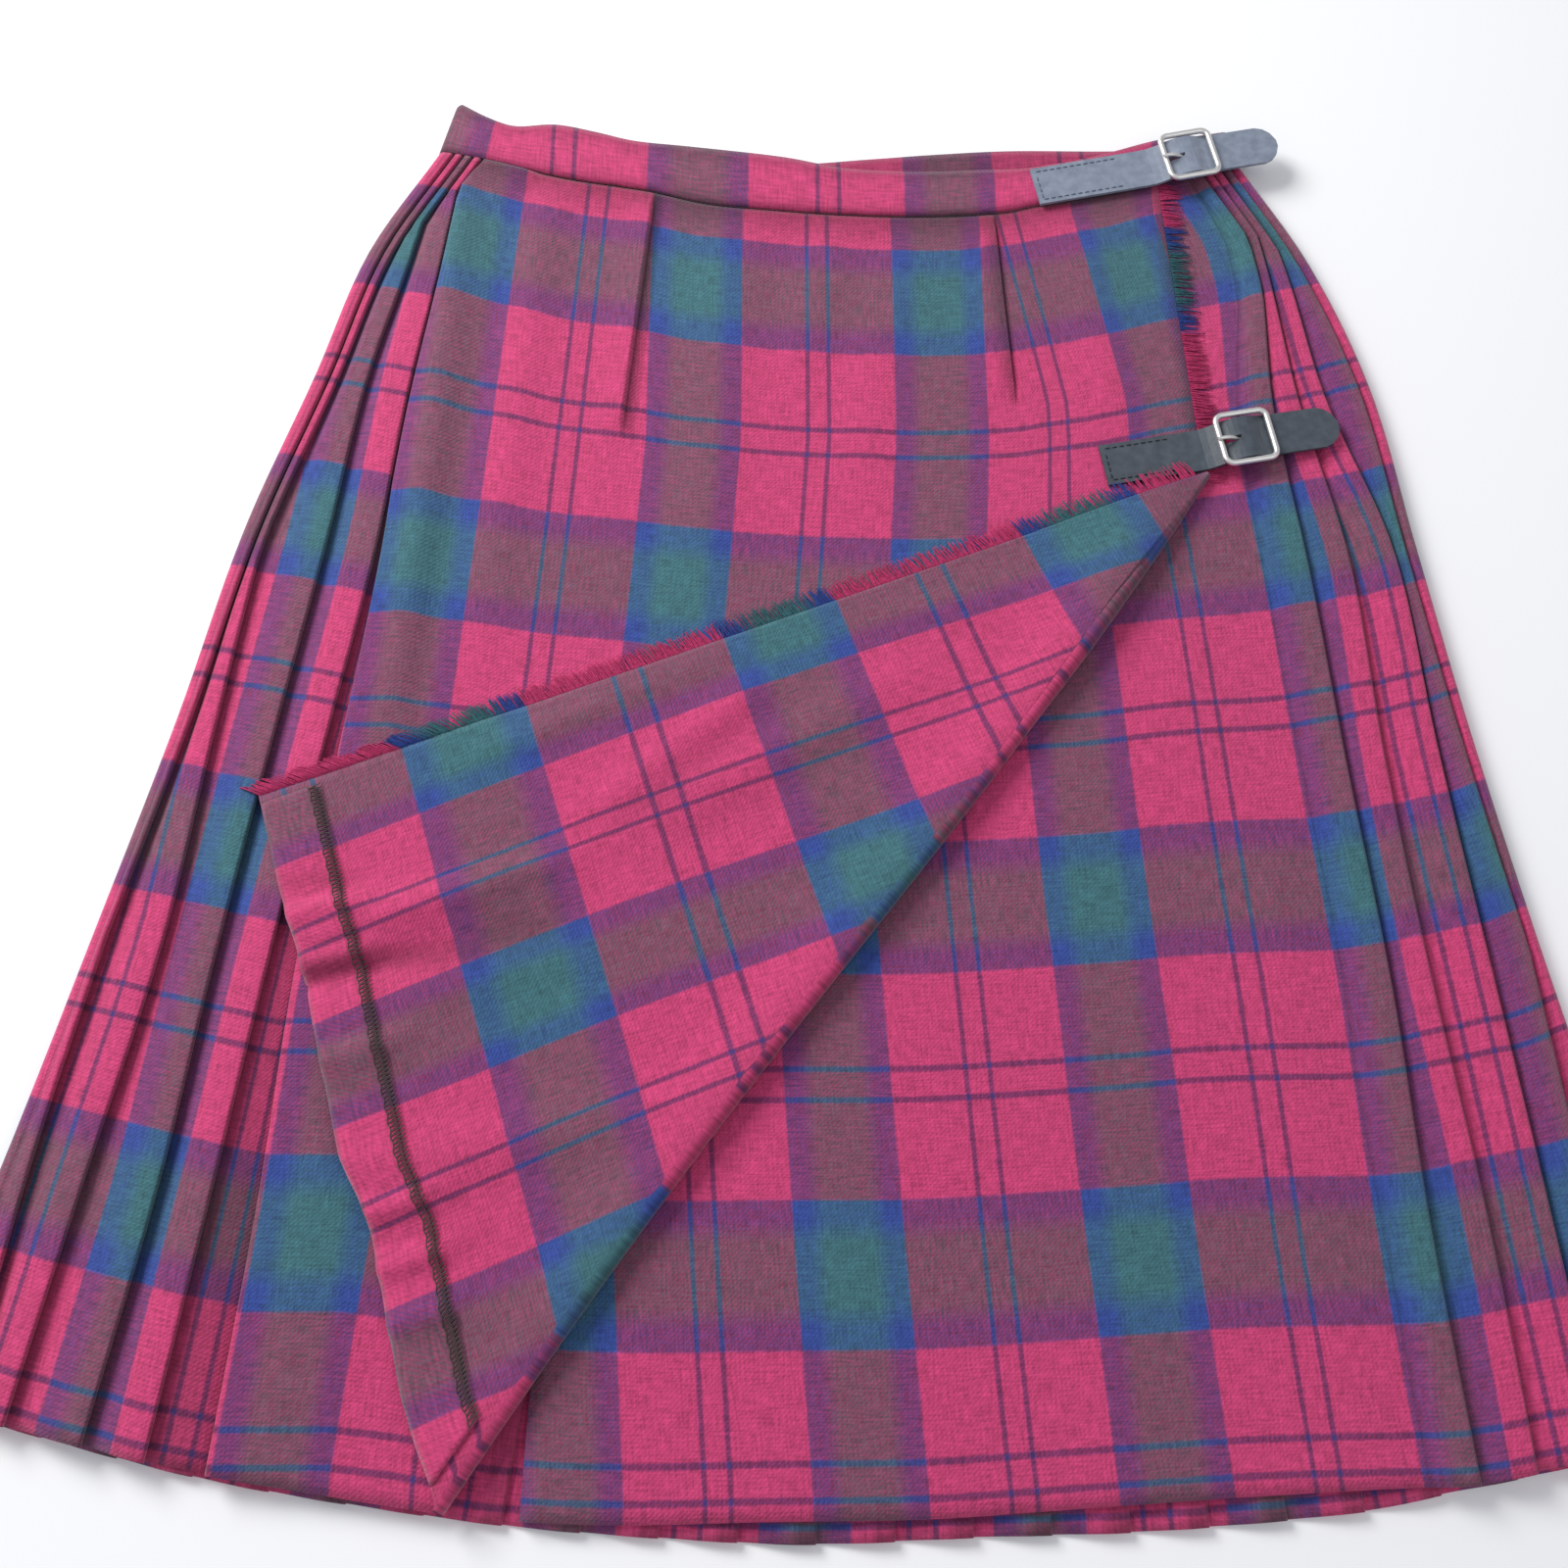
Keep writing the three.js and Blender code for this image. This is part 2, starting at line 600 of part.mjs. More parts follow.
/** A strap with a square sewn end, a rounded tip and a slot for the prong. */
function strap(f) {
  const half = STRAP_WIDE / 2;
  const stations = [0, 12, 26];
  for (const u of [-20, -17, -14, -11, -8.5, -6, -4, -2, 0, 2, 4, 7, 10, 13]) {
    stations.push(f.bar + u);
  }
  stations.push(f.long - 8, f.long - 4.5, f.long - 1.8, f.long);
  const points = [];
  for (const u of stations) {
    const tip = Math.max(0, (u - (f.long - 9)) / 9);
    const wide = half * Math.sqrt(Math.max(0.03, 1 - tip * tip));
    for (const v of [-1, -0.35, 0.35, 1]) {
      points.push(seat(f, [u, v * wide, strapZ(f.rest, u - f.bar)]));
    }
  }
  const faces = gridFaces(stations.length, 4).map((face) => face.reverse());
  const body = thicken('strap', points, faces, STRAP_WALL, FINISHES.leather);
  const slot = slotCutter(f, [7, 2.4, 12], [f.bar - 5.4, 0, 12]);
  return fromManifold(`strap_${f.name}`, toManifold(body.geometry).subtract(slot),
    FINISHES.leather);
}

/** The leather tab that holds the buckle: from the cloth round the bar and back on itself. */
function tab(f) {
  const loop = BAR_RADIUS + SEAM_GAP + TAB_WALL / 2;
  const path = [[TAB_LONG, TAB_Z], [10, TAB_Z], [3, BAR_Z - loop]];
  for (const deg of [-90, -135, 180, 135, 90]) {
    const a = deg * Math.PI / 180;
    path.push([loop * Math.cos(a), BAR_Z + loop * Math.sin(a)]);
  }
  path.push([3.5, BAR_Z + loop - 0.6], [8, TAB_Z + TAB_WALL + SEAM_GAP + 0.2]);
  path.push([TAB_LONG, TAB_Z + TAB_WALL + SEAM_GAP]);
  const points = [];
  for (const [u, z] of path) {
    for (const v of [-0.5, 0.5]) points.push(seat(f, [f.bar + u, v * TAB_WIDE, z]));
  }
  const faces = gridFaces(path.length, 2);
  const body = thicken('tab', points, faces, TAB_WALL, FINISHES.leather);
  const slot = slotCutter(f, [6.6, 2.6, 9], [f.bar - 0.9, 0, BAR_Z]);
  return fromManifold(`tab_${f.name}`, toManifold(body.geometry).subtract(slot),
    FINISHES.leather);
}

/** The buckle: a bowed frame with rounded corners and a bar across its middle. */
function buckle(f) {
  const long = FRAME_LONG / 2 - FRAME_TUBE;
  const tall = FRAME_TALL / 2 - FRAME_TUBE;
  const path = [];
  const corners = [[1, 1, 0], [-1, 1, 90], [-1, -1, 180], [1, -1, 270]];
  for (const [sx, sy, turn] of corners) {
    for (const deg of [0, 30, 60, 90]) {
      const a = (turn + deg) * Math.PI / 180;
      path.push([
        sx * (long - FRAME_CORNER) + FRAME_CORNER * Math.cos(a),
        sy * (tall - FRAME_CORNER) + FRAME_CORNER * Math.sin(a),
      ]);
    }
    if (sx === sy) path.push([0, sy * tall]);
  }
  const ring = path.map(([u, v]) => seat(f, [
    f.bar + u, v, BAR_Z + FRAME_RISE * Math.abs(u / long) ** 1.5,
  ]));
  const round = new THREE.CatmullRomCurve3(ring.map((q) => new THREE.Vector3(...q)), true);
  const frame = new THREE.TubeGeometry(round, FRAME_STEPS, FRAME_TUBE, WIRE_SIDES, true);
  const ends = [-tall, tall].map((v) => new THREE.Vector3(...seat(f, [f.bar, v, BAR_Z])));
  const bar = wire(new THREE.LineCurve3(...ends), BAR_RADIUS, 1);
  return fromManifold(`buckle_${f.name}`, toManifold(merged(frame)).add(toManifold(bar)),
    FINISHES.nickel);
}

/** The prong: wound round the bar, up through the strap and onto the frame's side. */
function prong(f) {
  const loop = BAR_RADIUS + SEAM_GAP + PRONG_TUBE;
  const path = [];
  for (let deg = -200; deg <= 90; deg += 29) {
    const a = deg * Math.PI / 180;
    path.push([loop * Math.cos(a), BAR_Z + loop * Math.sin(a)]);
  }
  path.push([-2.6, BAR_Z + loop + 0.3], [-5, 13.4], [-7.4, 14.9], [-9.6, 16], [-12.6, 16.1]);
  const centre = path.map(([u, z]) => new THREE.Vector3(...seat(f, [f.bar + u, 0, z])));
  const rod = wire(new THREE.CatmullRomCurve3(centre), PRONG_TUBE, PRONG_STEPS);
  return mesh(`prong_${f.name}`, Array.from(rod.getAttribute('position').array),
    Array.from(rod.getIndex().array), FINISHES.nickel);
}

function build() {
  const group = new THREE.Group();
  group.add(
    clothFrom('under_apron', ROWS, underApron),
    clothFrom('pleats_right', ROWS, rightPleats),
    clothFrom('pleats_back', ROWS, backPleats),
    clothFrom('pleats_left', ROWS, leftPleats),
    overApron(),
    hemTurnup(),
    waistband(),
  );
  const edge = [FLAP_CORNER[0] - APEX[0], FLAP_CORNER[1] - APEX[1]];
  const size = Math.hypot(...edge);
  group.add(
    fringe('fringe_upper', [FRINGE_EDGE_TOP + 0.3, 281.5], [APEX[0] - 0.4, APEX[1] + 7],
      [0.995, -0.1], 8, () => FRONT[1]),
    fringe('fringe_lower', flapEdge(0.03), flapEdge(0.995),
      [edge[1] / size, -edge[0] / size], 6.5, flapZ),
  );
  for (const f of FASTENINGS) group.add(strap(f), tab(f), buckle(f), prong(f));
  const box = new THREE.Box3().setFromObject(group);
  const centre = box.getCenter(new THREE.Vector3());
  for (const solid of group.children) {
    solid.geometry.translate(-centre.x, -centre.y, -box.min.z);
  }
  return group;
}

export default build();
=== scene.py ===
"""A kilted wrap skirt of checked wool, laid flat with one corner of its apron turned back.

Lengths are in millimetres as the skirt lies, measured from the point under the middle of
the view. Every mesh is written in metres, in the frame's own place.
"""

import logging
import math
import random
from dataclasses import dataclass, field
from enum import Enum
from typing import Callable, Sequence

import bpy
import numpy as np
from mathutils import Matrix, Vector


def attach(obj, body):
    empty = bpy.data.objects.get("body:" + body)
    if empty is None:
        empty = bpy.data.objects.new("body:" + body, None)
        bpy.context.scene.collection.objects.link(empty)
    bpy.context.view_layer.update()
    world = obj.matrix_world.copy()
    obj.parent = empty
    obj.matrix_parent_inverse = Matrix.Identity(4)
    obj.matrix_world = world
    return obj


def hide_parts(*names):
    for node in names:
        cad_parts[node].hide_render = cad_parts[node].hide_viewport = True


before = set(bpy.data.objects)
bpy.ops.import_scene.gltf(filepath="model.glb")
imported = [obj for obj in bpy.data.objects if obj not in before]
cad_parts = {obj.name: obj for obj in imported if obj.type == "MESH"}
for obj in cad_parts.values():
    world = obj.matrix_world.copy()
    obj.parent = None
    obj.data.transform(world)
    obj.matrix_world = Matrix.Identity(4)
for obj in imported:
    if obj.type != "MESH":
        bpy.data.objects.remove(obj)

Pair = tuple[float, float]
Triple = tuple[float, float, float]
Quad = tuple[float, float, float, float]

LOG = logging.getLogger("skirt")
MM = 0.001
MIDDLE = (6.2065, 25.4465)     # the frame's origin, from the point under the view's middle

# The check: how far it takes to repeat, across (warp) and down (weft).
SETT = 107.0
SETT_DOWN = 143.5

# The cloth and how it folds, as in the solids.
WALL = 0.9             # its thickness
STEP = 1.4             # from one layer to the next
GAP = 0.3              # between two pieces that meet
WAIST_GAP = 0.6        # between the skirt and the waistband's lower line
PLEAT_CLOTH = 35.7     # what a back pleat takes: a third of the check's repeat
BACK_PLEATS = 23       # folds across the back, the first of them in the right side's piece
SIDE_RADIUS = 3.5      # of the turn round each side
MIN_PITCH = 4.3        # the least from one fold to the next
RAMP = 2.8             # the least of a pleat that is left for its climb over the one before
TURN = 0.8             # how far past a fold the cloth comes out again
RECESS = 16.0          # depth of the inverted pleat at the over apron's left edge
MID_Z = 4.0            # height of the middle between front and back
FIRST = 0.7            # from there to the nearest layer
FRONT_LEVELS = (MID_Z + FIRST, MID_Z + FIRST + STEP, MID_Z + FIRST + 2 * STEP)
BACK_LEVELS = (MID_Z - FIRST, MID_Z - FIRST - STEP, MID_Z - FIRST - 2 * STEP)
APRON_Z = FRONT_LEVELS[1]      # where the over apron lies

# Rows down the skirt, 0 at the waist seam and 1 at the hem, with each line's x there.
ROWS = (0, 0.1, 0.22, 0.36, 0.52, 0.68, 0.84, 1)
LINES = {
    "left_side": (-157, -184.6, -202.6, -225.1, -242.9, -263.3, -284.2, -307.4),
    "left_1": (-157, -184.6, -202.6, -225.1, -240.9, -256.8, -273.1, -285.5),
    "left_2": (-157, -183.7, -199.9, -214.9, -226.0, -235.9, -252.8, -269.8),
    "left_3": (-154.2, -165.0, -179.5, -189.6, -202.8, -215.3, -226.5, -242.2),
    "left_4": (-144.6, -151.7, -161.2, -169.3, -182.5, -195.4, -207.4, -219.9),
    "over_left": (-144.6, -151.7, -160.7, -166.2, -175.7, -184.3, -189.8, -198.0),
    "under_left": (-70, -72, -75, -78, -81, -84, -87, -90.5),
    "right_1": (201.4, 209.2, 208.4, 215.5, 221.3, 228.1, 231.4, 237.7),
    "right_2": (204.0, 212.7, 219.7, 232.6, 236.6, 243.3, 252.0, 257.6),
    "right_3": (206.0, 220.4, 231.0, 251.3, 258.0, 266.3, 274.6, 282.4),
    "right_4": (206.4, 232.8, 252.3, 262.4, 274.1, 281.7, 289.4, 297.1),
    "right_side": (206.4, 232.8, 252.3, 262.4, 274.1, 288.1, 303.9, 319.8),
}

# Curves across the skirt, each a list of x, y.
FRONT_WAIST = ((-157, 300), (-133, 295), (-100, 286), (-62, 279), (-35, 272), (-9, 269), (26, 266),
               (62, 265), (97, 267), (114, 271), (139, 276), (160, 283), (191, 290), (206, 293))
BACK_WAIST = ((-157, 300), (-120, 286), (-60, 274), (0, 271), (40, 274), (69, 276.5), (103, 278.5),
              (154, 278.5), (190, 284), (206, 293))
FRONT_HEM = ((-307, -227), (-264, -238), (-242, -243), (-220, -248), (-199, -252), (-127, -263),
             (-89, -267), (-54, -268), (-7, -267), (50, -266), (128, -261), (198, -257),
             (239, -255), (260, -251), (284, -246), (299, -243), (320, -233))
BACK_HEM = ((-307, -227), (-264, -239), (-199, -254), (-125, -265), (-77, -270), (-7, -274),
            (20, -274), (67, -272), (128, -270), (199, -264), (225, -259), (284, -247),
            (320, -233))
FRONT_TOP = ((-157, 324), (-152, 325), (-146, 321), (-130, 314.5), (-121, 313), (-104, 314),
             (-86, 310), (-68, 305), (-44, 302), (0, 296), (27, 290), (58, 288), (92, 289),
             (110, 290), (139, 296), (172, 306), (206, 312))
BACK_TOP = ((-157, 324), (-120, 310), (-60, 300), (0, 297), (40, 300), (69, 302.5), (103, 304.5),
            (154, 304.5), (190, 307), (206, 312))

# The turned-back corner.
APEX_ROW = 0.276               # the row where its fold starts
SAME_ROW = 1e-6                # rows nearer to each other than this are one
APEX = (177.0, 134.5)          # the fold's top
FOLD_END = (-117.0, -263.0)    # and its end at the hem
FLAP_CORNER = (-205.0, -8.0)   # where the hem meets the fringed edge
FOLD_BOW = 3.5                 # how far the fold sways off its straight line
FRINGE_EDGE_TOP = 168.0        # x of the fringed edge at the waist
FRINGE_PHASE = 5.11            # the check's phase on the fringed edge
HEM_ALLOWANCE = 22.0
STRAP_HALF = 9.5               # half of a strap's width


def mix(a: float, b: float, share: float) -> float:
    """Value between a and b at a share of the way."""
    return a + (b - a) * share


def smooth(start: float, end: float, x: float) -> float:
    """Eased step from 0 at start to 1 at end."""
    t = min(1.0, max(0.0, (x - start) / (end - start)))
    return t * t * (3 - 2 * t)


def table(x: float, rows: Sequence[Pair]) -> float:
    """Value at x of a short table of x and value, straight between its rows."""
    ordered = sorted(rows)
    return float(np.interp(x, [r[0] for r in ordered], [r[1] for r in ordered]))


def beside(x: float, y: float, start: Pair, end: Pair) -> float:
    """How far a point lies beside the line from start to end, above 0 on its right."""
    ax, ay = end[0] - start[0], end[1] - start[1]
    return ((x - start[0]) * ay - (y - start[1]) * ax) / math.hypot(ax, ay)


class Face(Enum):
    """Which side of the laid skirt a layer belongs to."""

    FRONT = 1
    BACK = -1


class Curve:
    """A smooth line y(x) through a few points."""

    def __init__(self, points: Sequence[Pair]) -> None:
        """Works out the line densely once.

        Args:
            points: x and y of each point, with x rising.
        """
        x, y = np.array(points, float).T
        last = len(x) - 1
        before = np.maximum(np.arange(len(x)) - 1, 0)
        after = np.minimum(np.arange(len(x)) + 1, last)
        slope = (y[after] - y[before]) / (x[after] - x[before])
        t = np.linspace(0, 1, 12, endpoint=False)
        xs, ys = [], []
        for i in range(last):
            wide = x[i + 1] - x[i]
            xs.append(x[i] + wide * t)
            ys.append((1 + 2 * t) * (1 - t) ** 2 * y[i] + t * (1 - t) ** 2 * wide * slope[i]
                      + t * t * (3 - 2 * t) * y[i + 1] - t * t * (1 - t) * wide * slope[i + 1])
        self.x = np.append(np.concatenate(xs), x[last])
        self.y = np.append(np.concatenate(ys), y[last])

    def __call__(self, x: float) -> float:
        """y of the line at x."""
        return float(np.interp(x, self.x, self.y))


@dataclass(frozen=True)
class FoldLines:
    """Where every fold of one row lies."""

    left_bend: float
    right_bend: float
    left: tuple[float, ...]
    right: tuple[float, ...]
    back: tuple[float, ...]
    pitch: float
    over_left: float
    recess: float


class Draft:
    """The skirt's lines as it lies, row by row."""

    def __init__(self) -> None:
        """Makes the smooth curves across the skirt."""
        self.waist = {Face.FRONT: Curve(FRONT_WAIST), Face.BACK: Curve(BACK_WAIST)}
        self.hem = {Face.FRONT: Curve(FRONT_HEM), Face.BACK: Curve(BACK_HEM)}
        self.top = {Face.FRONT: Curve(FRONT_TOP), Face.BACK: Curve(BACK_TOP)}
        self.lines = {name: Curve(list(zip(ROWS, xs))) for name, xs in LINES.items()}

    def line(self, name: str, row: float) -> float:
        """x of a named line at a row."""
        return self.lines[name](row)

    def share(self, x: float, row: float) -> float:
        """How far across the skirt x lies, from 0 at its left to 1 at its right."""
        left, right = self.line("left_side", row), self.line("right_side", row)
        return min(1.0, max(0.0, (x - left) / (right - left)))

    def y(self, face: Face, x: float, row: float) -> float:
        """y of a point of the front or back, from its x and row.

        Args:
            face: front or back.
            x: place across the skirt, in millimetres.
            row: the row, 0 at the waist and 1 at the hem.

        Returns:
            y, in millimetres.
        """
        share = self.share(x, row)
        top = self.waist[face](mix(LINES["left_side"][0], LINES["right_side"][0], share))
        low = self.hem[face](mix(LINES["left_side"][-1], LINES["right_side"][-1], share))
        return mix(top - WAIST_GAP, low, row)

    def folds(self, row: float) -> FoldLines:
        """Fold lines at a row, kept apart for the cloth's wall.

        Args:
            row: 0 at the waist seam, 1 at the hem.

        Returns:
            The fold lines there.
        """
        left_bend = self.line("left_side", row) + SIDE_RADIUS + 0.5
        right_bend = self.line("right_side", row) - SIDE_RADIUS - 0.5
        left = [max(self.line("left_1", row), left_bend + 2.7)]
        for name in ("left_2", "left_3", "left_4"):
            left.append(max(self.line(name, row), left[-1] + MIN_PITCH))
        right = [min(self.line("right_4", row), right_bend - 2.3)]
        for name in ("right_3", "right_2", "right_1"):
            right.insert(0, min(self.line(name, row), right[0] - MIN_PITCH))
        pitch = (right_bend - left_bend) / BACK_PLEATS
        back = tuple(right_bend - pitch * (k + 0.5) for k in range(BACK_PLEATS))
        over_left = max(self.line("over_left", row), left[3] + 1.8)
        return FoldLines(left_bend, right_bend, tuple(left), tuple(right), back, pitch,
                         over_left, over_left + RECESS)


DRAFT = Draft()


def depth(pitch: float) -> float:
    """How deep cloth is folded under, from the distance to the fold before."""
    return max(1.5, min((PLEAT_CLOTH - pitch) / 2, pitch - RAMP, pitch * 0.55))


@dataclass
class Net:
    """A cloth surface: its points, the check's phases and painted shade on them, and the faces
    between.
    """

    points: list[Triple] = field(default_factory=list)
    phases: list[Pair] = field(default_factory=list)
    painted_shades: list[float] = field(default_factory=list)
    faces: list[tuple[int, ...]] = field(default_factory=list)

    def put(self, x: float, y: float, z: float, across: float, down: float,
            shade: float = 1.0) -> int:
        """Adds a point in millimetres with its phases and painted shade, and gives its number.

        Args:
            x: place across the skirt, in millimetres.
            y: place up the skirt, in millimetres.
            z: height over the floor.
            across: the check's phase across.
            down: the check's phase down.
            shade: painted shade here, from 0 for black to 1 for the cloth's own colour.

        Returns:
            Its number.
        """
        self.points.append((x, y, z))
        self.phases.append((across, down))
        self.painted_shades.append(shade)
        return len(self.points) - 1

    def strip(self, above: Sequence[int], below: Sequence[int]) -> None:
        """Fills the strip between two rows of points, which look up where x grows."""
        for i in range(len(above) - 1):
            self.faces.append((above[i], below[i], below[i + 1], above[i + 1]))

    def cord(self, path: Sequence[Triple], radius: float) -> None:
        """Adds a closed six-sided thread along a path.

        Args:
            path: the thread's middle.
            radius: half its width.
        """
        before = None
        for i, here in enumerate(path):
            run = Vector(path[min(i + 1, len(path) - 1)]) - Vector(path[max(i - 1, 0)])
            side = Vector((-run.y, run.x, 0.0)).normalized()
            over = run.cross(side).normalized()
            ring = []
            for k in range(6):
                a = math.pi * k / 3
                p = Vector(here) + (side * math.cos(a) + over * math.sin(a)) * radius
                ring.append(self.put(*p, 0, 0))
            if before:
                for k in range(6):
                    m = (k + 1) % 6
                    self.faces.append((before[k], before[m], ring[m], ring[k]))
            else:
                self.faces.append(tuple(reversed(ring)))
            before = ring
        self.faces.append(tuple(before))

    def piece(self, name: str, wall: float, material: bpy.types.Material) -> bpy.types.Object:
        """Turns the net into an object with a wall and smooth faces.

        Args:
            name: the object's name.
            wall: thickness in millimetres, 0 for a net that is closed already.
            material: its finish.

        Returns:
            The object, at the origin.
        """
        mesh = bpy.data.meshes.new(name)
        places = np.array(self.points) - (MIDDLE[0], MIDDLE[1], 0.0)
        mesh.from_pydata((places * MM).tolist(), [], self.faces)
        layer = mesh.uv_layers.new(name="cloth")
        corner = np.zeros(len(mesh.loops), np.int32)
        mesh.loops.foreach_get("vertex_index", corner)
        layer.data.foreach_set("uv", np.array(self.phases, np.float32)[corner].ravel())
        # Painted shade, which the wool's material multiplies into its colour.
        shade = mesh.attributes.new("shade", "FLOAT", "POINT")
        shade.data.foreach_set("value", self.painted_shades)
        mesh.materials.append(material)
        mesh.shade_smooth()
        mesh.update()
        piece = bpy.data.objects.new(name, mesh)
        bpy.context.scene.collection.objects.link(piece)
        if wall:
            solid = piece.modifiers.new("wall", "SOLIDIFY")
            solid.thickness = wall * MM
            solid.offset = 0.0
            solid.use_even_offset = False
        return piece


@dataclass(frozen=True)
class Spot:
    """A point of a cross-section: its side, place, the check's phase across and its painted shade.
    """

    face: Face
    x: float
    z: float
    phase: float
    shade: float = 1.0


@dataclass(frozen=True)
class Fold:
    """A knife pleat's edge: its place, depth, the check's phase there and its lift."""

    x: float
    deep: float
    phase: float
    lift: float


class Section:
    """One row's cross-section, which follows the cloth as it folds."""

    FACE_SHARES = (0.06, 0.13, 0.22, 0.33, 0.46, 0.6, 0.75, 0.89, 1.0)
    ARC_STEPS = 5
    PAINTED_FOLD_SHADE = 0.66      # painted shade inside a fold and where the cloth comes out from under the fold before

    def __init__(self, face: Face, x: float, z: float, phase: float) -> None:
        """Starts the section at a point."""
        self.spots = [Spot(face, x, z, phase)]

    def to(self, face: Face, x: float, z: float, phase: float, shade: float = 1.0) -> None:
        """Adds one point."""
        self.spots.append(Spot(face, x, z, phase, shade))

    @classmethod
    def arc(cls, x: float, z: float, end_z: float, bulge: float) -> list[Pair]:
        """Half an ellipse from a point to the height end_z over or under it.

        Args:
            x: place across the skirt, in millimetres.
            z: height it starts at.
            end_z: height it ends at.
            bulge: how far it swells, below 0 for towards the left.

        Returns:
            Its points, after the first.
        """
        points = []
        for i in range(1, cls.ARC_STEPS + 1):
            a = math.pi * i / cls.ARC_STEPS
            points.append((x + bulge * math.sin(a), mix(end_z, z, (1 + math.cos(a)) / 2)))
        return points

    def pleat(self, fold: Fold, way: int, levels: Triple,
              after: float, ends: float | None = None) -> None:
        """A knife pleat: up over its bed to the fold, back under it and out again.

        Args:
            fold: the pleat's edge.
            way: 1 where the cloth goes to the right, -1 to the left.
            levels: heights of its three layers, the outermost last.
            after: the check's phase where the cloth comes out.
            ends: where the cloth is seamed to the next piece, if it is.
        """
        start = self.spots[-1]
        face = start.face
        low, middle, high = levels
        radius = STEP / 2
        reach = abs(fold.x - start.x)
        climb = max(0.5, reach - fold.deep - TURN)
        lift = face.value * fold.lift
        for share in self.FACE_SHARES:
            d = share * (reach - radius)
            z = mix(start.z, high, smooth(0, climb, d)) + lift * smooth(0, 1, share)
            # Painted shadow where the cloth comes out from under the fold before.
            shade = mix(self.PAINTED_FOLD_SHADE, 1.0, smooth(0, 3.2, d))
            self.to(face, start.x + way * d, z, fold.phase - (reach - d) / SETT, shade)
        top = self.spots[-1]
        hidden = self.arc(top.x, top.z, middle + lift, way * radius)
        back = fold.x - way * (fold.deep - radius)
        for share in (0.35, 0.7, 1.0):
            x = mix(top.x, back, share)
            hidden.append((x, middle + lift * smooth(0, 1, abs(x - start.x) / (reach - radius))))
        hidden += self.arc(back, hidden[-1][1], low, -way * radius)
        out = fold.x + way * TURN if ends is None else ends
        hidden += [(mix(back, out, share), low) for share in (0.35, 1.0)]
        line = np.array([(top.x, top.z), *hidden])
        gone = np.cumsum(np.linalg.norm(np.diff(line, axis=0), axis=1))
        # Painted shade all through the fold's hidden layers.
        for (x, z), distance in zip(hidden, gone):
            self.to(face, x, z, mix(fold.phase, after, distance / gone[-1]), self.PAINTED_FOLD_SHADE)

    def side(self, bend: float, way: int, phase: float) -> None:
        """Half a turn round the skirt's side.

        Args:
            bend: where the turn starts and ends.
            way: 1 at the right side, -1 at the left.
            phase: the check's phase where it starts, which rises on the way.
        """
        for i in range(9):
            a = math.pi / 2 * (1 - i / 4) * way
            face = Face.FRONT if (a > 0 or (a == 0 and way < 0)) else Face.BACK
            along = SIDE_RADIUS * math.pi * i / 8
            self.to(face, bend + way * SIDE_RADIUS * math.cos(a),
                    MID_Z + SIDE_RADIUS * math.sin(a), phase + along / SETT)


@dataclass(frozen=True)
class Crease:
    """A soft ridge or trough that someone's hands left in the cloth, or a band of painted shade
    along one.
    """

    start: Pair
    end: Pair
    wide: float
    high: float

    def at(self, x: float, y: float) -> float:
        """Its height at a point, which fades at its ends and sides.

        Args:
            x: place across the skirt, in millimetres.
            y: place up the skirt, in millimetres.

        Returns:
            The height, in millimetres.
        """
        ax, ay = self.end[0] - self.start[0], self.end[1] - self.start[1]
        size = ax * ax + ay * ay
        t = ((x - self.start[0]) * ax + (y - self.start[1]) * ay) / size
        across = abs((x - self.start[0]) * ay - (y - self.start[1]) * ax) / math.sqrt(size)
        ends = smooth(-0.25, 0.2, t) * (1 - smooth(0.8, 1.25, t))
        return self.high * ends * math.exp(-(across / self.wide) ** 2)


def relief(creases: Sequence[Crease], x: float, y: float) -> float:
    """Height that a set of creases adds at a point; for the bands of painted shade, the light lost
    there.
    """
    return sum(crease.at(x, y) for crease in creases)


# Which way the cloth's own waves run: start, end, width and height of each.
APRON_CREASES = (
    Crease((-142, 292), (-156, 40), 7, 3.4),
    Crease((-106, 280), (-122, 70), 10, 2.4),
    Crease((-22, 262), (-35, 90), 14, 2.2),
    Crease((22, 258), (8, 190), 8, 2.0),
    Crease((52, 240), (30, 130), 9, 1.6),
    Crease((132, 265), (140, 160), 10, 1.9),
    Crease((-170, 20), (-176, -110), 10, 1.5),
    Crease((-160, -130), (-168, -250), 12, 1.6),
)
UNDER_CREASES = (
    Crease((150, 60), (196, -60), 16, 1.4),
    Crease((80, -60), (176, -150), 18, 1.2),
    Crease((10, -170), (60, -260), 16, 1.3),
    Crease((186, -60), (200, -240), 13, 1.5),
    Crease((110, -190), (120, -262), 14, 1.0),
    Crease((205, 110), (214, 10), 8, 1.0),
)
FLAP_CREASES = (
    Crease((-184, -66), (-85, -34), 7, 3.6),
    Crease((-190, -85), (-88, -55), 5, -1.6),
    Crease((-182, -100), (-80, -70), 8, 1.4),
    Crease((-115, 12), (-20, 62), 8, 2.2),
    Crease((-60, -20), (46, 40), 10, 1.8),
    Crease((-74, -14), (-12, 38), 7, 1.9),
    Crease((-150, -150), (-40, -128), 10, 2.6),
    Crease((-138, -200), (-88, -196), 8, 1.4),
    Crease((40, 70), (130, 84), 9, 0.9),
    Crease((-198, -60), (-160, -50), 4, 3.6),
    Crease((-192, -80), (-152, -68), 4, 3.2),
    Crease((-178, -114), (-140, -102), 5, 2.4),
    Crease((-159, -169), (-122, -158), 4, 3.4),
    Crease((-152, -188), (-118, -177), 3.5, 2.8),
    Crease((-146, -206), (-116, -198), 4, 2.0),
)
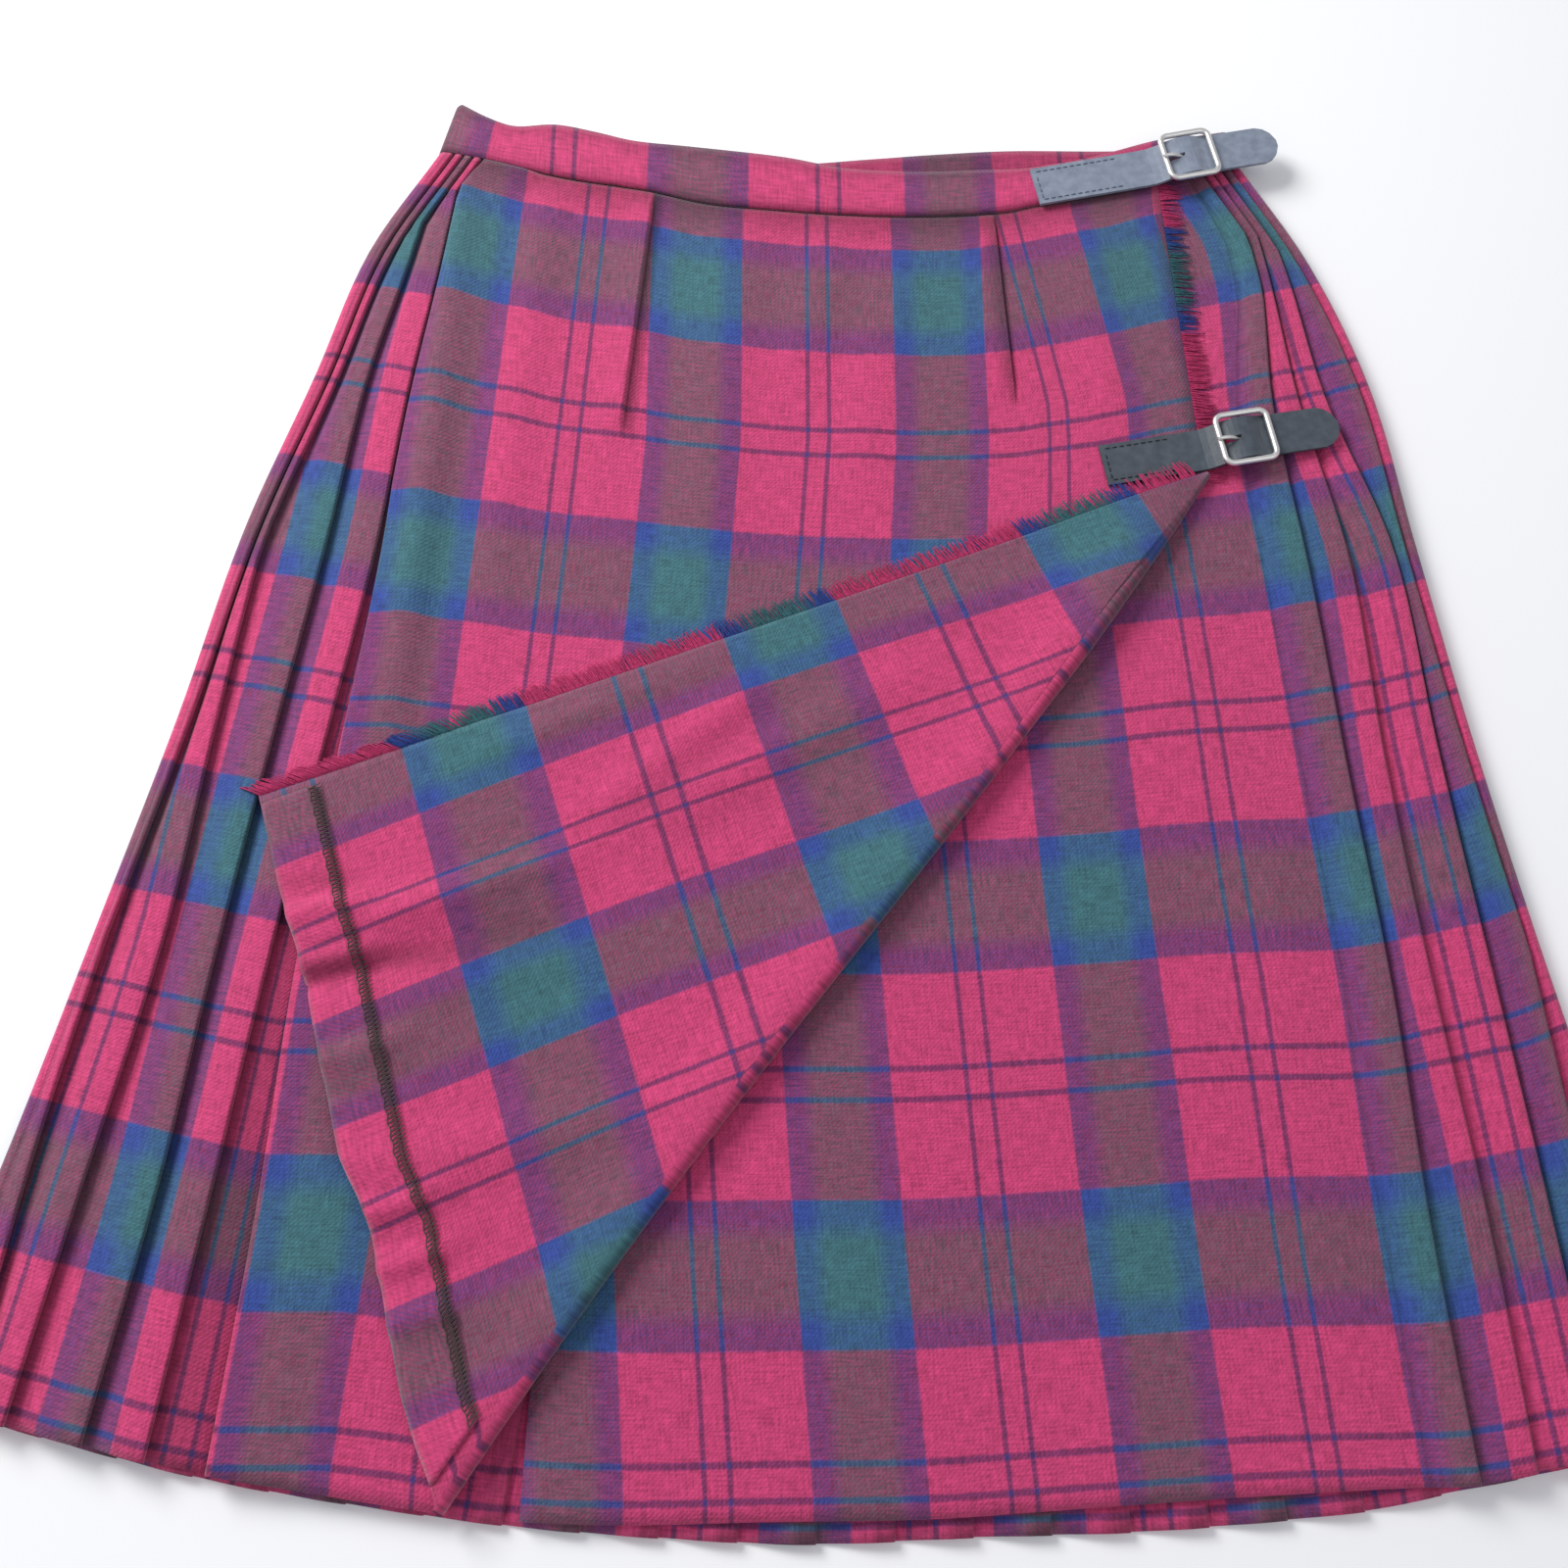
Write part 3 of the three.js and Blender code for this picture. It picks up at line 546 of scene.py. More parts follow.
# Painted shade where the turned-back corner's creases lie: start, end, width and light lost of
# each.
FLAP_CREASE_SHADE = (
    Crease((-196, -81), (-138, -70), 4.5, 0.42),
    Crease((-138, -74), (-86, -57), 6, 0.32),
    Crease((-198, -46), (-166, -40), 4, 0.22),
    Crease((-178, -124), (-140, -112), 4, 0.16),
    Crease((-66, -20), (-6, 30), 6, 0.16),
    Crease((-40, -24), (30, 18), 6, 0.12),
)


def pleat_lift(row: float) -> float:
    """How far a pleat's edge stands off its bed: pressed at the waist, loose at the hem."""
    return mix(0.2, 1.9, smooth(0.02, 0.9, row))


@dataclass(frozen=True)
class Dart:
    """A stitched dart of the over apron: its line and how much cloth it takes in."""

    top: Pair
    tip: Pair
    takes: float

    def share(self, y: float) -> float:
        """How far up the dart y lies: 0 at and below its tip, 1 at its top."""
        return min(1.1, max(0.0, (y - self.tip[1]) / (self.top[1] - self.tip[1])))

    def x(self, y: float) -> float:
        """x of its line at y."""
        return mix(self.tip[0], self.top[0], self.share(y))

    def intake(self, y: float) -> float:
        """Cloth taken in at y."""
        return self.takes * self.share(y)


DARTS = (Dart((-59, 271), (-70, 153), 8.0), Dart((94, 258), (99, 170), 18.0))


def over_phase(x: float, y: float) -> float:
    """The check's phase across the over apron.

    Args:
        x: place across the skirt, in millimetres.
        y: place up the skirt, in millimetres.

    Returns:
        The phase, in repeats.
    """
    column = table(y, ((300, -135), (254, -138), (89, -149), (-176, -169), (-252, -176)))
    taken = sum(dart.intake(y) * smooth(-0.4, 0.4, x - dart.x(y)) for dart in DARTS)
    spread = 0.09 * smooth(66, 177, x) * smooth(-100, 170, y)
    return 2 + (x - column + taken) / 106.3 + spread


FLAP_LONG = math.dist(APEX, FLAP_CORNER)
HEM_WAVE = ((-263, 0), (-241, -2.4), (-226, -3.2), (-204, -1.6), (-186, -0.4), (-167, 1.0),
            (-146, -3.6), (-113, -2.2), (-68, 0.3), (-46, -1.1), (-8, 0))


def fold_point(share: float) -> Pair:
    """A point of the fold, from its top at 0 to the hem at 1."""
    bow = FOLD_BOW * math.sin(2 * math.pi * share)
    return mix(APEX[0], FOLD_END[0], share) + bow, mix(APEX[1], FOLD_END[1], share)


def fold_share(row: float) -> float:
    """Where along the fold a row of the skirt meets it.

    Args:
        row: the row, 0 at the waist and 1 at the hem.

    Returns:
        The share, 0 to 1.
    """
    low, high = 0.0, 1.0
    for _ in range(30):
        middle = (low + high) / 2
        x, y = fold_point(middle)
        if y > DRAFT.y(Face.FRONT, x, row):
            low = middle
        else:
            high = middle
    return (low + high) / 2


def right_of_fold(x: float, y: float) -> float:
    """How far a point of the under apron lies clear of the over apron, in millimetres.

    Args:
        x: place across the skirt, in millimetres.
        y: place up the skirt, in millimetres.

    Returns:
        The distance, below 0 under the over apron.
    """
    if y > APEX[1]:
        return x - APEX[0] - 4
    return -beside(x, y, APEX, FOLD_END)


def flap_base(x: float) -> float:
    """Height of the turned-back corner's middle over the floor."""
    return 7.5 + 2.1 * smooth(90, 132, x) + 1.4 * smooth(-96, -136, x)


@dataclass(frozen=True)
class FlapPoint:
    """A point of the turned-back corner."""

    x: float
    y: float
    z: float
    across: float
    down: float


def flap_point(share: float, out: float) -> FlapPoint:
    """A point of the turned-back corner.

    Args:
        share: 0 at the fold's top, 1 at the hem.
        out: 0 at the fold, 1 at the fringed edge.

    Returns:
        Its place and the check's phases.
    """
    fold = fold_point(share)
    edge = (mix(APEX[0], FLAP_CORNER[0], share), mix(APEX[1], FLAP_CORNER[1], share))
    long = math.dist(fold, edge)
    x, y = mix(fold[0], edge[0], out), mix(fold[1], edge[1], out)
    x += table(y, HEM_WAVE) * smooth(0.86, 1, share) * smooth(0, 0.08, out)
    from_fold = out * long
    roll = 6.0 * smooth(0, 0.16, share) - 1.5 * smooth(0.85, 1, share)
    z = flap_base(x) + roll * math.exp(-(from_fold / 20) ** 2)
    z += relief(FLAP_CREASES, x, y) * smooth(0, 26, from_fold) * smooth(0, 14, long - from_fold)
    loose = smooth(0.9, 1, share)
    z += loose * (0.6 + 1.1 * math.sin(out * 17) * math.sin(out * math.pi)) * smooth(0, .1, out)
    inside = long - from_fold
    across = FRINGE_PHASE - inside / SETT - 0.07 * math.sin(math.pi * share)
    across -= 0.03 * smooth(15, 100, inside) * smooth(0.4, 0.8, share)
    down = 3 + (share * FLAP_LONG - 47) / SETT_DOWN + 0.16 * (share - 0.5) + 0.02
    down -= 0.035 * (1 - smooth(0.3, 0.6, share))
    return FlapPoint(x, y, z, across, down)


def row_list(steps: int, extra: Sequence[float] = ()) -> list[float]:
    """Rows from the waist to the hem, closer together at the hem."""
    rows = [i / steps for i in range(steps + 1)]
    return sorted({*rows, *extra, 0.99, 0.004})


def over_down(x: float, y: float) -> float:
    """The check's phase down the over apron, whose rows straighten away from the waist.

    Args:
        x: place across the skirt, in millimetres.
        y: place up the skirt, in millimetres.

    Returns:
        The phase, in repeats.
    """
    waist = mix(DRAFT.waist[Face.FRONT](x), 269.0, 0.42 * smooth(250, 90, y))
    dropped = 0.12 * smooth(60, -140, y) * smooth(-50, -100, x)
    return (waist - y - 45.5) / SETT_DOWN + dropped


def down_right(row: float, x: float) -> float:
    """The check's phase down the under apron and the right pleats.

    Args:
        row: the row, 0 at the waist and 1 at the hem.
        x: place across the skirt, in millimetres.

    Returns:
        The phase, in repeats.
    """
    middle = table(row, ((-0.2, -1), (0.068, 0), (0.334, 1), (0.597, 2), (0.848, 3), (1, 3.59)))
    side = table(row, ((-0.2, -1), (0.068, 0), (0.341, 1), (0.606, 2), (0.854, 3), (1, 3.58)))
    return mix(middle, side, smooth(150, 235, x))


def grid(net: Net, sections: Sequence[Sequence[int]]) -> None:
    """Fills a net between all its rows."""
    for above, below in zip(sections, sections[1:]):
        net.strip(above, below)


class Piece:
    """A named piece of the skirt that stands for one or more solids."""

    name: str
    slot = "wool"

    def declare(self, piece: bpy.types.Object) -> bpy.types.Object:
        """Puts the piece on the one rigid body, in place of its solids.

        Args:
            piece: the finished object.

        Returns:
            The same object.
        """
        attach(piece, "root")
        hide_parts(self.name)
        LOG.info("%s: %d points", self.name, len(piece.data.vertices))
        return piece


@dataclass
class SidePleats(Piece):
    """The pleats round one side, from the front's seam to the back's."""

    name: str
    wool: bpy.types.Material
    left_phases: tuple[float, ...] = (0.30, 0.63, 0.97, 1.30)
    right_phases: tuple[float, ...] = (1.02, 1.27, 1.60, 1.93)

    def left(self, row: float) -> Section:
        """Cross-section of the left side at a row.

        Args:
            row: the row, 0 at the waist and 1 at the hem.

        Returns:
            The section.
        """
        f = DRAFT.folds(row)
        deep = depth(f.pitch)
        first = self.left_phases[0] - (f.left[0] - f.left_bend) / SETT
        start = first - math.pi * SIDE_RADIUS / SETT
        last = f.back[-1]
        section = Section(Face.BACK, last + 0.4 * deep - GAP, BACK_LEVELS[0], start - 0.25)
        section.to(Face.BACK, last - TURN, BACK_LEVELS[0], start - 0.15)
        section.side(f.left_bend, -1, start)
        for k, x in enumerate(f.left):
            pitch = x - (f.left[k - 1] if k else f.left_bend - 1)
            phase = self.left_phases[k]
            after = 1.42
            if k < 3:
                after = self.left_phases[k + 1] - (f.left[k + 1] - x - TURN) / SETT
            section.pleat(Fold(x, depth(pitch), phase, pleat_lift(row)), 1, FRONT_LEVELS, after)
        section.to(Face.FRONT, f.recess - 3, FRONT_LEVELS[0], 1.72)
        return section

    def right(self, row: float) -> Section:
        """Cross-section of the right side at a row.

        Args:
            row: the row, 0 at the waist and 1 at the hem.

        Returns:
            The section.
        """
        f = DRAFT.folds(row)
        deep = depth(f.right[1] - f.right[0])
        out = self.right_phases[1] - (f.right[1] - f.right[0] - TURN) / SETT
        section = Section(Face.FRONT, f.right[0] - 0.6 * deep + GAP, FRONT_LEVELS[0], out - 0.1)
        section.to(Face.FRONT, f.right[0] + TURN, FRONT_LEVELS[0], out)
        for k in range(1, 4):
            x, phase = f.right[k], self.right_phases[k]
            after = phase + 0.27
            if k < 3:
                after = self.right_phases[k + 1] - (f.right[k + 1] - x - TURN) / SETT
            section.pleat(Fold(x, depth(x - f.right[k - 1]), phase, pleat_lift(row)),
                          1, FRONT_LEVELS, after)
        bend = section.spots[-1].phase + (f.right_bend - f.right[3]) / SETT
        section.side(f.right_bend, 1, bend)
        first = self.first_back(f)
        section.pleat(Fold(f.back[0], first, bend + 0.3, 0), -1, BACK_LEVELS, bend + 0.5,
                      f.back[0] + 0.4 * first)
        return section

    @staticmethod
    def first_back(f: FoldLines) -> float:
        """Depth of the back's first fold at the right side."""
        return max(1.5, min((PLEAT_CLOTH - f.pitch) / 2, f.pitch / 2 - TURN))

    def build(self) -> bpy.types.Object:
        """Makes the side's cloth.

        Returns:
            The piece, placed and declared.
        """
        net, rows = Net(), []
        is_left = self.name == "pleats_left"
        for row in row_list(60):
            section = self.left(row) if is_left else self.right(row)
            if is_left:
                section.spots.reverse()
            rows.append(lay(net, section, row, down_left if is_left else down_right))
        grid(net, rows)
        if is_left:
            net.faces = [face[::-1] for face in net.faces]
        return self.declare(net.piece(f"v_{self.name}", WALL, self.wool))


def down_left(row: float, _x: float) -> float:
    """The check's phase down the left pleats and the back."""
    return table(row, ((-0.2, -1.086), (0.0824, 0), (0.6024, 2), (0.85, 3), (1, 3.58)))


def lay(net: Net, section: Section, row: float, down: Callable[[float, float], float]) -> list[int]:
    """Puts one row's cross-section into a net."""
    return [net.put(s.x, DRAFT.y(s.face, s.x, row), s.z, s.phase, down(row, s.x), s.shade)
            for s in section.spots]


@dataclass
class BackPleats(Piece):
    """The knife pleats across the back, which the skirt lies on."""

    wool: bpy.types.Material
    name: str = "pleats_back"

    def section(self, row: float) -> Section:
        """Cross-section of the back at a row, from its right to its left.

        Args:
            row: the row, 0 at the waist and 1 at the hem.

        Returns:
            The section.
        """
        f = DRAFT.folds(row)
        first = SidePleats.first_back(f)
        start = 2.3
        section = Section(Face.BACK, f.back[0] + 0.4 * first - GAP, BACK_LEVELS[0], start)
        section.to(Face.BACK, f.back[0] - TURN, BACK_LEVELS[0], start + 0.1)
        for k in range(1, BACK_PLEATS):
            x = f.back[k]
            phase = start + k / 3
            after = start + (k + 1) / 3 - (f.pitch - TURN) / SETT
            ends = x + 0.4 * depth(f.pitch) if k == BACK_PLEATS - 1 else None
            section.pleat(Fold(x, depth(f.pitch), phase, 0), -1, BACK_LEVELS, after, ends)
        return section

    def build(self) -> bpy.types.Object:
        """Makes the back's cloth.

        Returns:
            The piece, placed and declared.
        """
        net, rows = Net(), []
        for row in row_list(44):
            rows.append(lay(net, self.section(row), row, down_left))
        grid(net, rows)
        net.faces = [face[::-1] for face in net.faces]
        return self.declare(net.piece("v_pleats_back", WALL, self.wool))


@dataclass
class UnderApron(Piece):
    """The flat under apron, with the edge of the first right-hand pleat."""

    wool: bpy.types.Material
    name: str = "under_apron"

    def build(self) -> bpy.types.Object:
        """Makes the under apron's cloth.

        Returns:
            The piece, placed and declared.
        """
        net, rows = Net(), []
        for row in row_list(64):
            f = DRAFT.folds(row)
            edge = f.right[0]
            deep = depth(f.right[1] - f.right[0])
            start = DRAFT.line("under_left", row)
            climb = mix(3.5, 8, smooth(0, 0.1, row))
            end = edge - deep - TURN - climb
            numbers = []
            for i in range(46):
                x = mix(start, end, i / 45)
                y = DRAFT.y(Face.FRONT, x, row)
                clear = smooth(5, 30, right_of_fold(x, y)) * smooth(0, 26, end - x + 8)
                z = FRONT_LEVELS[0] + relief(UNDER_CREASES, x, y) * clear
                numbers.append(net.put(x, y, z, self.phase(x, y, edge), down_right(row, x)))
            section = Section(Face.FRONT, end, FRONT_LEVELS[0], 0)
            section.pleat(Fold(edge, deep, 0.98, pleat_lift(row)), 1, FRONT_LEVELS, 1.3,
                          edge - 0.6 * deep)
            section.spots = section.spots[1:]
            numbers += lay(net, section, row, down_right)
            rows.append(numbers)
        grid(net, rows)
        return self.declare(net.piece("v_under_apron", WALL, self.wool))

    @staticmethod
    def phase(x: float, y: float, edge: float) -> float:
        """The check's phase across, which reaches the pleat's own at its edge.

        Args:
            x: place across the skirt, in millimetres.
            y: place up the skirt, in millimetres.
            edge: x of the first pleat's fold.

        Returns:
            The phase, in repeats.
        """
        column = table(y, ((300, 97), (243, 101), (66, 114), (-46, 120), (-180, 129),
                           (-260, 135)))
        if x < column:
            return (x - column) / 105.0
        return 0.98 * (x - column) / (edge - column)


@dataclass
class OverApron(Piece):
    """The over apron, with its darts, its inverted pleat's edge and its turned-back corner."""

    wool: bpy.types.Material
    name: str = "over_apron"
    roll_steps: int = 6
    flap_steps: int = 92

    def kept(self, net: Net, row: float) -> list[int]:
        """The part that lies flat, from the hidden fold to the fringe or the turned fold.

        Args:
            net: the net.
            row: the row, 0 at the waist and 1 at the hem.

        Returns:
            The row's point numbers.
        """
        f = DRAFT.folds(row)
        turned = row > APEX_ROW + SAME_ROW
        share = fold_share(row) if turned else 0.0
        end = fold_point(share)[0] if turned else mix(FRINGE_EDGE_TOP, APEX[0], row / APEX_ROW)
        low, mid, high = FRONT_LEVELS
        lift = 0.5 * pleat_lift(row)
        radius = STEP / 2
        # The hidden half of the inverted pleat, then the apron's left edge over it.
        line = [(f.recess - 3 + GAP, low), (f.recess - radius, low)]
        line += Section.arc(f.recess - radius, low, mid, radius)
        left = f.over_left + radius
        for share_back in (0.5, 1.0):
            line.append((mix(f.recess - radius, left, share_back), mid + lift * share_back))
        line += Section.arc(left, mid + lift, high + lift, -radius)
        span = f.recess + TURN - left
        for step in (0.15, 0.4, 0.7, 1.0):
            line.append((left + span * step, high + lift * (1 - smooth(0, 1, step))))
        line += [(f.recess + TURN + 4, mix(high, mid, 0.3)), (f.recess + TURN + 8, mid + 0.2)]
        start = f.recess + 12
        numbers = []
        for x, z in line:
            y = DRAFT.y(Face.FRONT, x, row)
            numbers.append(self.put(net, x, y, z))
        # Points on both sides of each dart's stitching, and closer together near it.
        y_mid = DRAFT.y(Face.FRONT, mix(start, end, 0.5), row)
        first = min(DARTS[0].x(y_mid), mix(start, end, 0.36))
        second = min(DARTS[1].x(y_mid), mix(start, end, 0.76))
        stops = [mix(start, first - 0.5, i / 14) for i in range(15)]
        stops += [mix(first + 0.5, second - 0.5, i / 22) for i in range(23)]
        stops += [mix(second + 0.5, end, i / 12) for i in range(13)]
        stops = sorted([*stops, first, second, first + 1.6, second + 1.6])
        for i, x in enumerate(stops):
            y = DRAFT.y(Face.FRONT, x, row)
            last = i == len(stops) - 1
            if last and abs(row - APEX_ROW) < SAME_ROW:
                y = APEX[1]
            if last and turned:
                p = flap_point(share, 0.0)
                x = x - self.inset(share) * self.away()[0]
                y = y - self.inset(share) * self.away()[1]
                numbers.append(net.put(x, y, APRON_Z, p.across, p.down))
            else:
                numbers.append(self.put(net, x, y, APRON_Z))
        return numbers

    @staticmethod
    def away() -> Pair:
        """Direction square to the fold, out of the flap.

        Returns:
            The direction, as x and y.
        """
        ax, ay = FOLD_END[0] - APEX[0], FOLD_END[1] - APEX[1]
        size = math.hypot(ax, ay)
        return -ay / size, ax / size

    @staticmethod
    def inset(share: float) -> float:
        """How far the fold's turn starts inside the solid's own, as it is fuller here."""
        p = flap_point(share, 0.0)
        return max(0.0, (p.z - APRON_Z) / 2 - (flap_base(p.x) - APRON_Z) / 2 - 0.6)

    def put(self, net: Net, x: float, y: float, z: float) -> int:
        """Adds a point of the flat part, with its waves, the darts' dips and painted shade.

        Args:
            net: the net.
            x: place across the skirt, in millimetres.
            y: place up the skirt, in millimetres.
            z: height of the flat cloth.

        Returns:
            Its number.
        """
        row_fade = smooth(0, 12, DRAFT.waist[Face.FRONT](x) - y)
        under_flap = smooth(-6, 10, self.above_flap(x, y))
        wave = max(0.0, relief(APRON_CREASES, x, y)) * row_fade * under_flap
        # Painted shade under the waistband, fading over 19 mm.
        shade = mix(0.56, 1.0, smooth(0, 19, DRAFT.waist[Face.FRONT](x) - y))
        # Cloth swells to the left of a dart's line and lies flatter on its right, with a painted
        # shadow along the line.
        for dart in DARTS:
            away = x - dart.x(y)
            stitched = smooth(dart.tip[1] - 4, dart.tip[1] + 12, y)
            shade *= 1 - 0.68 * stitched * math.exp(-((away - 0.5) / 0.8) ** 2)
            deep = stitched * row_fade
            if away < 0:
                wave += 2.2 * math.exp(-(away / 9) ** 2) * deep
            else:
                wave += 0.9 * (1 - math.exp(-(away / 3) ** 2)) * math.exp(-(away / 14) ** 2) * deep
        return net.put(x, y, z + max(-0.15, wave), over_phase(x, y), over_down(x, y), shade)

    @staticmethod
    def above_flap(x: float, y: float) -> float:
        """How far a point lies above the turned corner's fringed edge.

        Args:
            x: place across the skirt, in millimetres.
            y: place up the skirt, in millimetres.

        Returns:
            The distance, in millimetres.
        """
        if x < FLAP_CORNER[0] + 4:
            return 20.0
        hem = FOLD_END[0] + (FLAP_CORNER[0] - FOLD_END[0]) * (y - FOLD_END[1]) / 255
        return max(beside(x, y, APEX, FLAP_CORNER), (hem - x) * 0.94)

    def flap(self, net: Net, row: float, fold: int) -> list[int]:
        """The turned part of one row, from the fold to the fringed edge.

        Args:
            net: the net.
            row: the row, 0 at the waist and 1 at the hem.
            fold: number of the flat part's last point.

        Returns:
            The row's point numbers.
        """
        share = fold_share(row)
        if abs(row - APEX_ROW) < SAME_ROW:
            share = 0.0
        numbers = [fold]
        p = flap_point(share, 0.0)
        away = self.away()
        radius = (p.z - APRON_Z) / 2
        inset = self.inset(share)
        for i in range(1, self.roll_steps + 1):
            a = math.pi * i / self.roll_steps
            out = radius * math.sin(a) - inset
            z = mix(p.z, APRON_Z, (1 + math.cos(a)) / 2)
            # Painted shade round the fold's roll, darkest where it turns under.
            shade = mix(0.6, 0.86, smooth(0.4, 1, i / self.roll_steps))
            numbers.append(net.put(p.x + away[0] * out, p.y + away[1] * out, z, p.across,
                                   p.down, shade))
        if share > 0:
            long = math.dist(fold_point(share), (mix(APEX[0], FLAP_CORNER[0], share),
                                                 mix(APEX[1], FLAP_CORNER[1], share)))
            from_s = inset / long
            for i in range(1, self.flap_steps + 1):
                s = mix(from_s, 1, (i / self.flap_steps) ** 1.15)
                q = flap_point(share, s)
                # Painted shade in the corner's creases, and a little more near the fold.
                shade = 1 - relief(FLAP_CREASE_SHADE, q.x, q.y)
                shade *= 1 - 0.14 * math.exp(-((s - from_s) * long / 11) ** 2)
                numbers.append(net.put(q.x, q.y, q.z, q.across, q.down, shade))
        return numbers

    def build(self) -> bpy.types.Object:
        """Makes the over apron's cloth.

        Returns:
            The piece, placed and declared.
        """
        net, kept, flap = Net(), [], []
        near = [APEX_ROW + step for step in (0, 0.003, 0.007, 0.012)]
        for row in row_list(70, near):
            kept.append(self.kept(net, row))
            if row > APEX_ROW - SAME_ROW:
                flap.append(self.flap(net, row, kept[-1][-1]))
        grid(net, kept)
        for above, below in zip(flap, flap[1:]):
            both = min(len(above), len(below))
            net.strip(above[:both], below[:both])
            for i in range(both, len(below)):
                net.faces.append((above[-1], below[i - 1], below[i]))
        return self.declare(net.piece("v_over_apron", WALL, self.wool))


@dataclass
class HemTurnup(Piece):
    """The apron's hem allowance, turned up on its wrong side and caught down."""

    wool: bpy.types.Material
    name: str = "apron_hem_turnup"
    lift: float = 1.25
    ends: Pair = (0.03, 0.985)      # shares of the way from fold to fringe

    def point(self, up: float, out: float) -> FlapPoint:
        """A point of the turn-up, from its hem at 0 to its overlocked edge at 1.

        Args:
            up: 0 at the hem, 1 at the overlocked edge.
            out: 0 at the fold, 1 at the fringed edge.

        Returns:
            Its place and the check's phases.
        """
        share = 1 - up * HEM_ALLOWANCE / FLAP_LONG
        p = flap_point(min(1.0, share), out)
        z = p.z + self.lift * smooth(0, 0.06, up) + 0.15
        return FlapPoint(p.x, p.y, z, p.across, 3.61 + 0.1 * up)

    def build(self) -> bpy.types.Object:
        """Makes the turn-up's cloth.

        Returns:
            The piece, placed and declared.
        """
        net, rows = Net(), []
        for i in range(9):
            numbers = []
            for j in range(120):
                p = self.point(0.012 + 0.988 * i / 8, mix(*self.ends, j / 119))
                # Painted shade in the creases.
                shade = 1 - relief(FLAP_CREASE_SHADE, p.x, p.y)
                numbers.append(net.put(p.x, p.y, p.z, p.across, p.down, shade))
            rows.append(numbers)
        grid(net, rows)
        return self.declare(net.piece("v_apron_hem_turnup", WALL, self.wool))


@dataclass
class Overlock(Piece):
    """Overlock stitches over the turn-up's raw edge, as loops of one thread."""

    turnup: HemTurnup
    thread: bpy.types.Material
    name: str = "overlock"
    loops: int = 150
    reach: float = 2.6
    radius: float = 0.19

    def at(self, along: float, away: float, lift: float) -> Triple:
        """A point beside the raw edge."""
        p = self.turnup.point(1 - away / HEM_ALLOWANCE, mix(*self.turnup.ends, along))
        return p.x, p.y, p.z + lift

    def build(self) -> bpy.types.Object:
        """Makes the stitches as one mesh.

        Returns:
            The piece, placed and put on the root body.
        """
        net = Net()
        for i in range(self.loops):
            a, b = i / self.loops, (i + 0.5) / self.loops
            for start, end, low, high in ((a, b, -0.8, 1), (b, a + 1 / self.loops, 1, -0.8)):
                path = []
                for step in range(5):
                    t = step / 4
                    away = mix(low, high, t) * self.reach
                    path.append(self.at(mix(start, end, t), away, 0.75 if away > 0 else 0.2))
                net.cord(path, self.radius)
        chain = [self.at(i / 160, self.reach + 0.35 * math.sin(i * 1.7), 0.85)
                 for i in range(161)]
        net.cord(chain, self.radius)
        piece = net.piece("v_overlock", 0, self.thread)
        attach(piece, "root")
        return piece


@dataclass
class Waistband(Piece):
    """The waistband, cut along the cloth and folded over its stiffening."""

    wool: bpy.types.Material
    name: str = "waistband"
    wall: float = 1.7
    inside: float = 0.9    # how far inside the skirt's sides it turns
    levels: Triple = (0.9, 5.0, 7.1)
    columns: tuple[Pair, ...] = (
        (-157, 0.02), (-131, 0.22), (-100, 0.5), (-38, 1.0), (20, 1.5), (75, 2.0), (104, 2.28),
        (131, 2.5), (206, 3.15))

    def stations(self) -> list[tuple[Face, float, float]]:
        """The band's run, from the over apron's end round the back to the under apron's.

        Returns:
            The face, x and height of each station.
        """
        back_z, under_z, over_z = self.levels
        run = [(Face.FRONT, 171.5 - 3.0 * i, over_z) for i in range(106)]
        run += self.turn(FRONT_TOP[0][0], over_z, -1)
        run += [(Face.BACK, -147 + 3.9 * i, back_z) for i in range(89)]
        run += self.turn(FRONT_TOP[-1][0], under_z, 1)
        run += [(Face.FRONT, 197 - 4.0 * i, under_z) for i in range(67)]
        return run

    def turn(self, side: float, front_z: float, way: int) -> list[tuple[Face, float, float]]:
        """The band's half turn round one side of the skirt.

        Args:
            side: x of that side.
            front_z: height of the band's front there.
            way: 1 at the right side, where it climbs to the front, -1 at the left.

        Returns:
            The face, x and height of each station.
        """
        radius = (front_z - self.levels[0]) / 2
        run = []
        for i in range(9):
            a = math.pi * way * (i / 8 - 0.5)
            x = side - way * (self.inside + radius - radius * math.cos(a))
            run.append((Face.FRONT if a > 0 else Face.BACK, x,
                        self.levels[0] + radius + radius * math.sin(a)))
        return run

    def build(self) -> bpy.types.Object:
        """Makes the band's cloth.

        Returns:
            The piece, placed and declared.
        """
        net, rows = Net(), []
        for i in range(9):
            up = 1 - i / 8
            numbers = []
            for face, x, z in self.stations():
                lean = 6 * (1 - smooth(-157, -110, x)) - 3 * smooth(170, 206, x)
                low, high = DRAFT.waist[face](x), DRAFT.top[face](x)
                outer = z == self.levels[2]
                puff = 0.45 * math.sin(math.pi * up) if outer else 0.0
                # Painted shade at the band's top edge and its seam, and all over its inner layers.
                shade = mix(0.74, 1, smooth(0, 0.3, up)) * mix(1, 0.7, smooth(0.6, 1, up))
                numbers.append(net.put(x + lean * up, mix(low, high, up), z + puff,
                                       table(x, self.columns), 0.31 + 0.12 * up,
                                       shade if outer else 0.66))
            rows.append(numbers)
        grid(net, rows)
        net.faces = [face[::-1] for face in net.faces]
        return self.declare(net.piece("v_waistband", self.wall, self.wool))


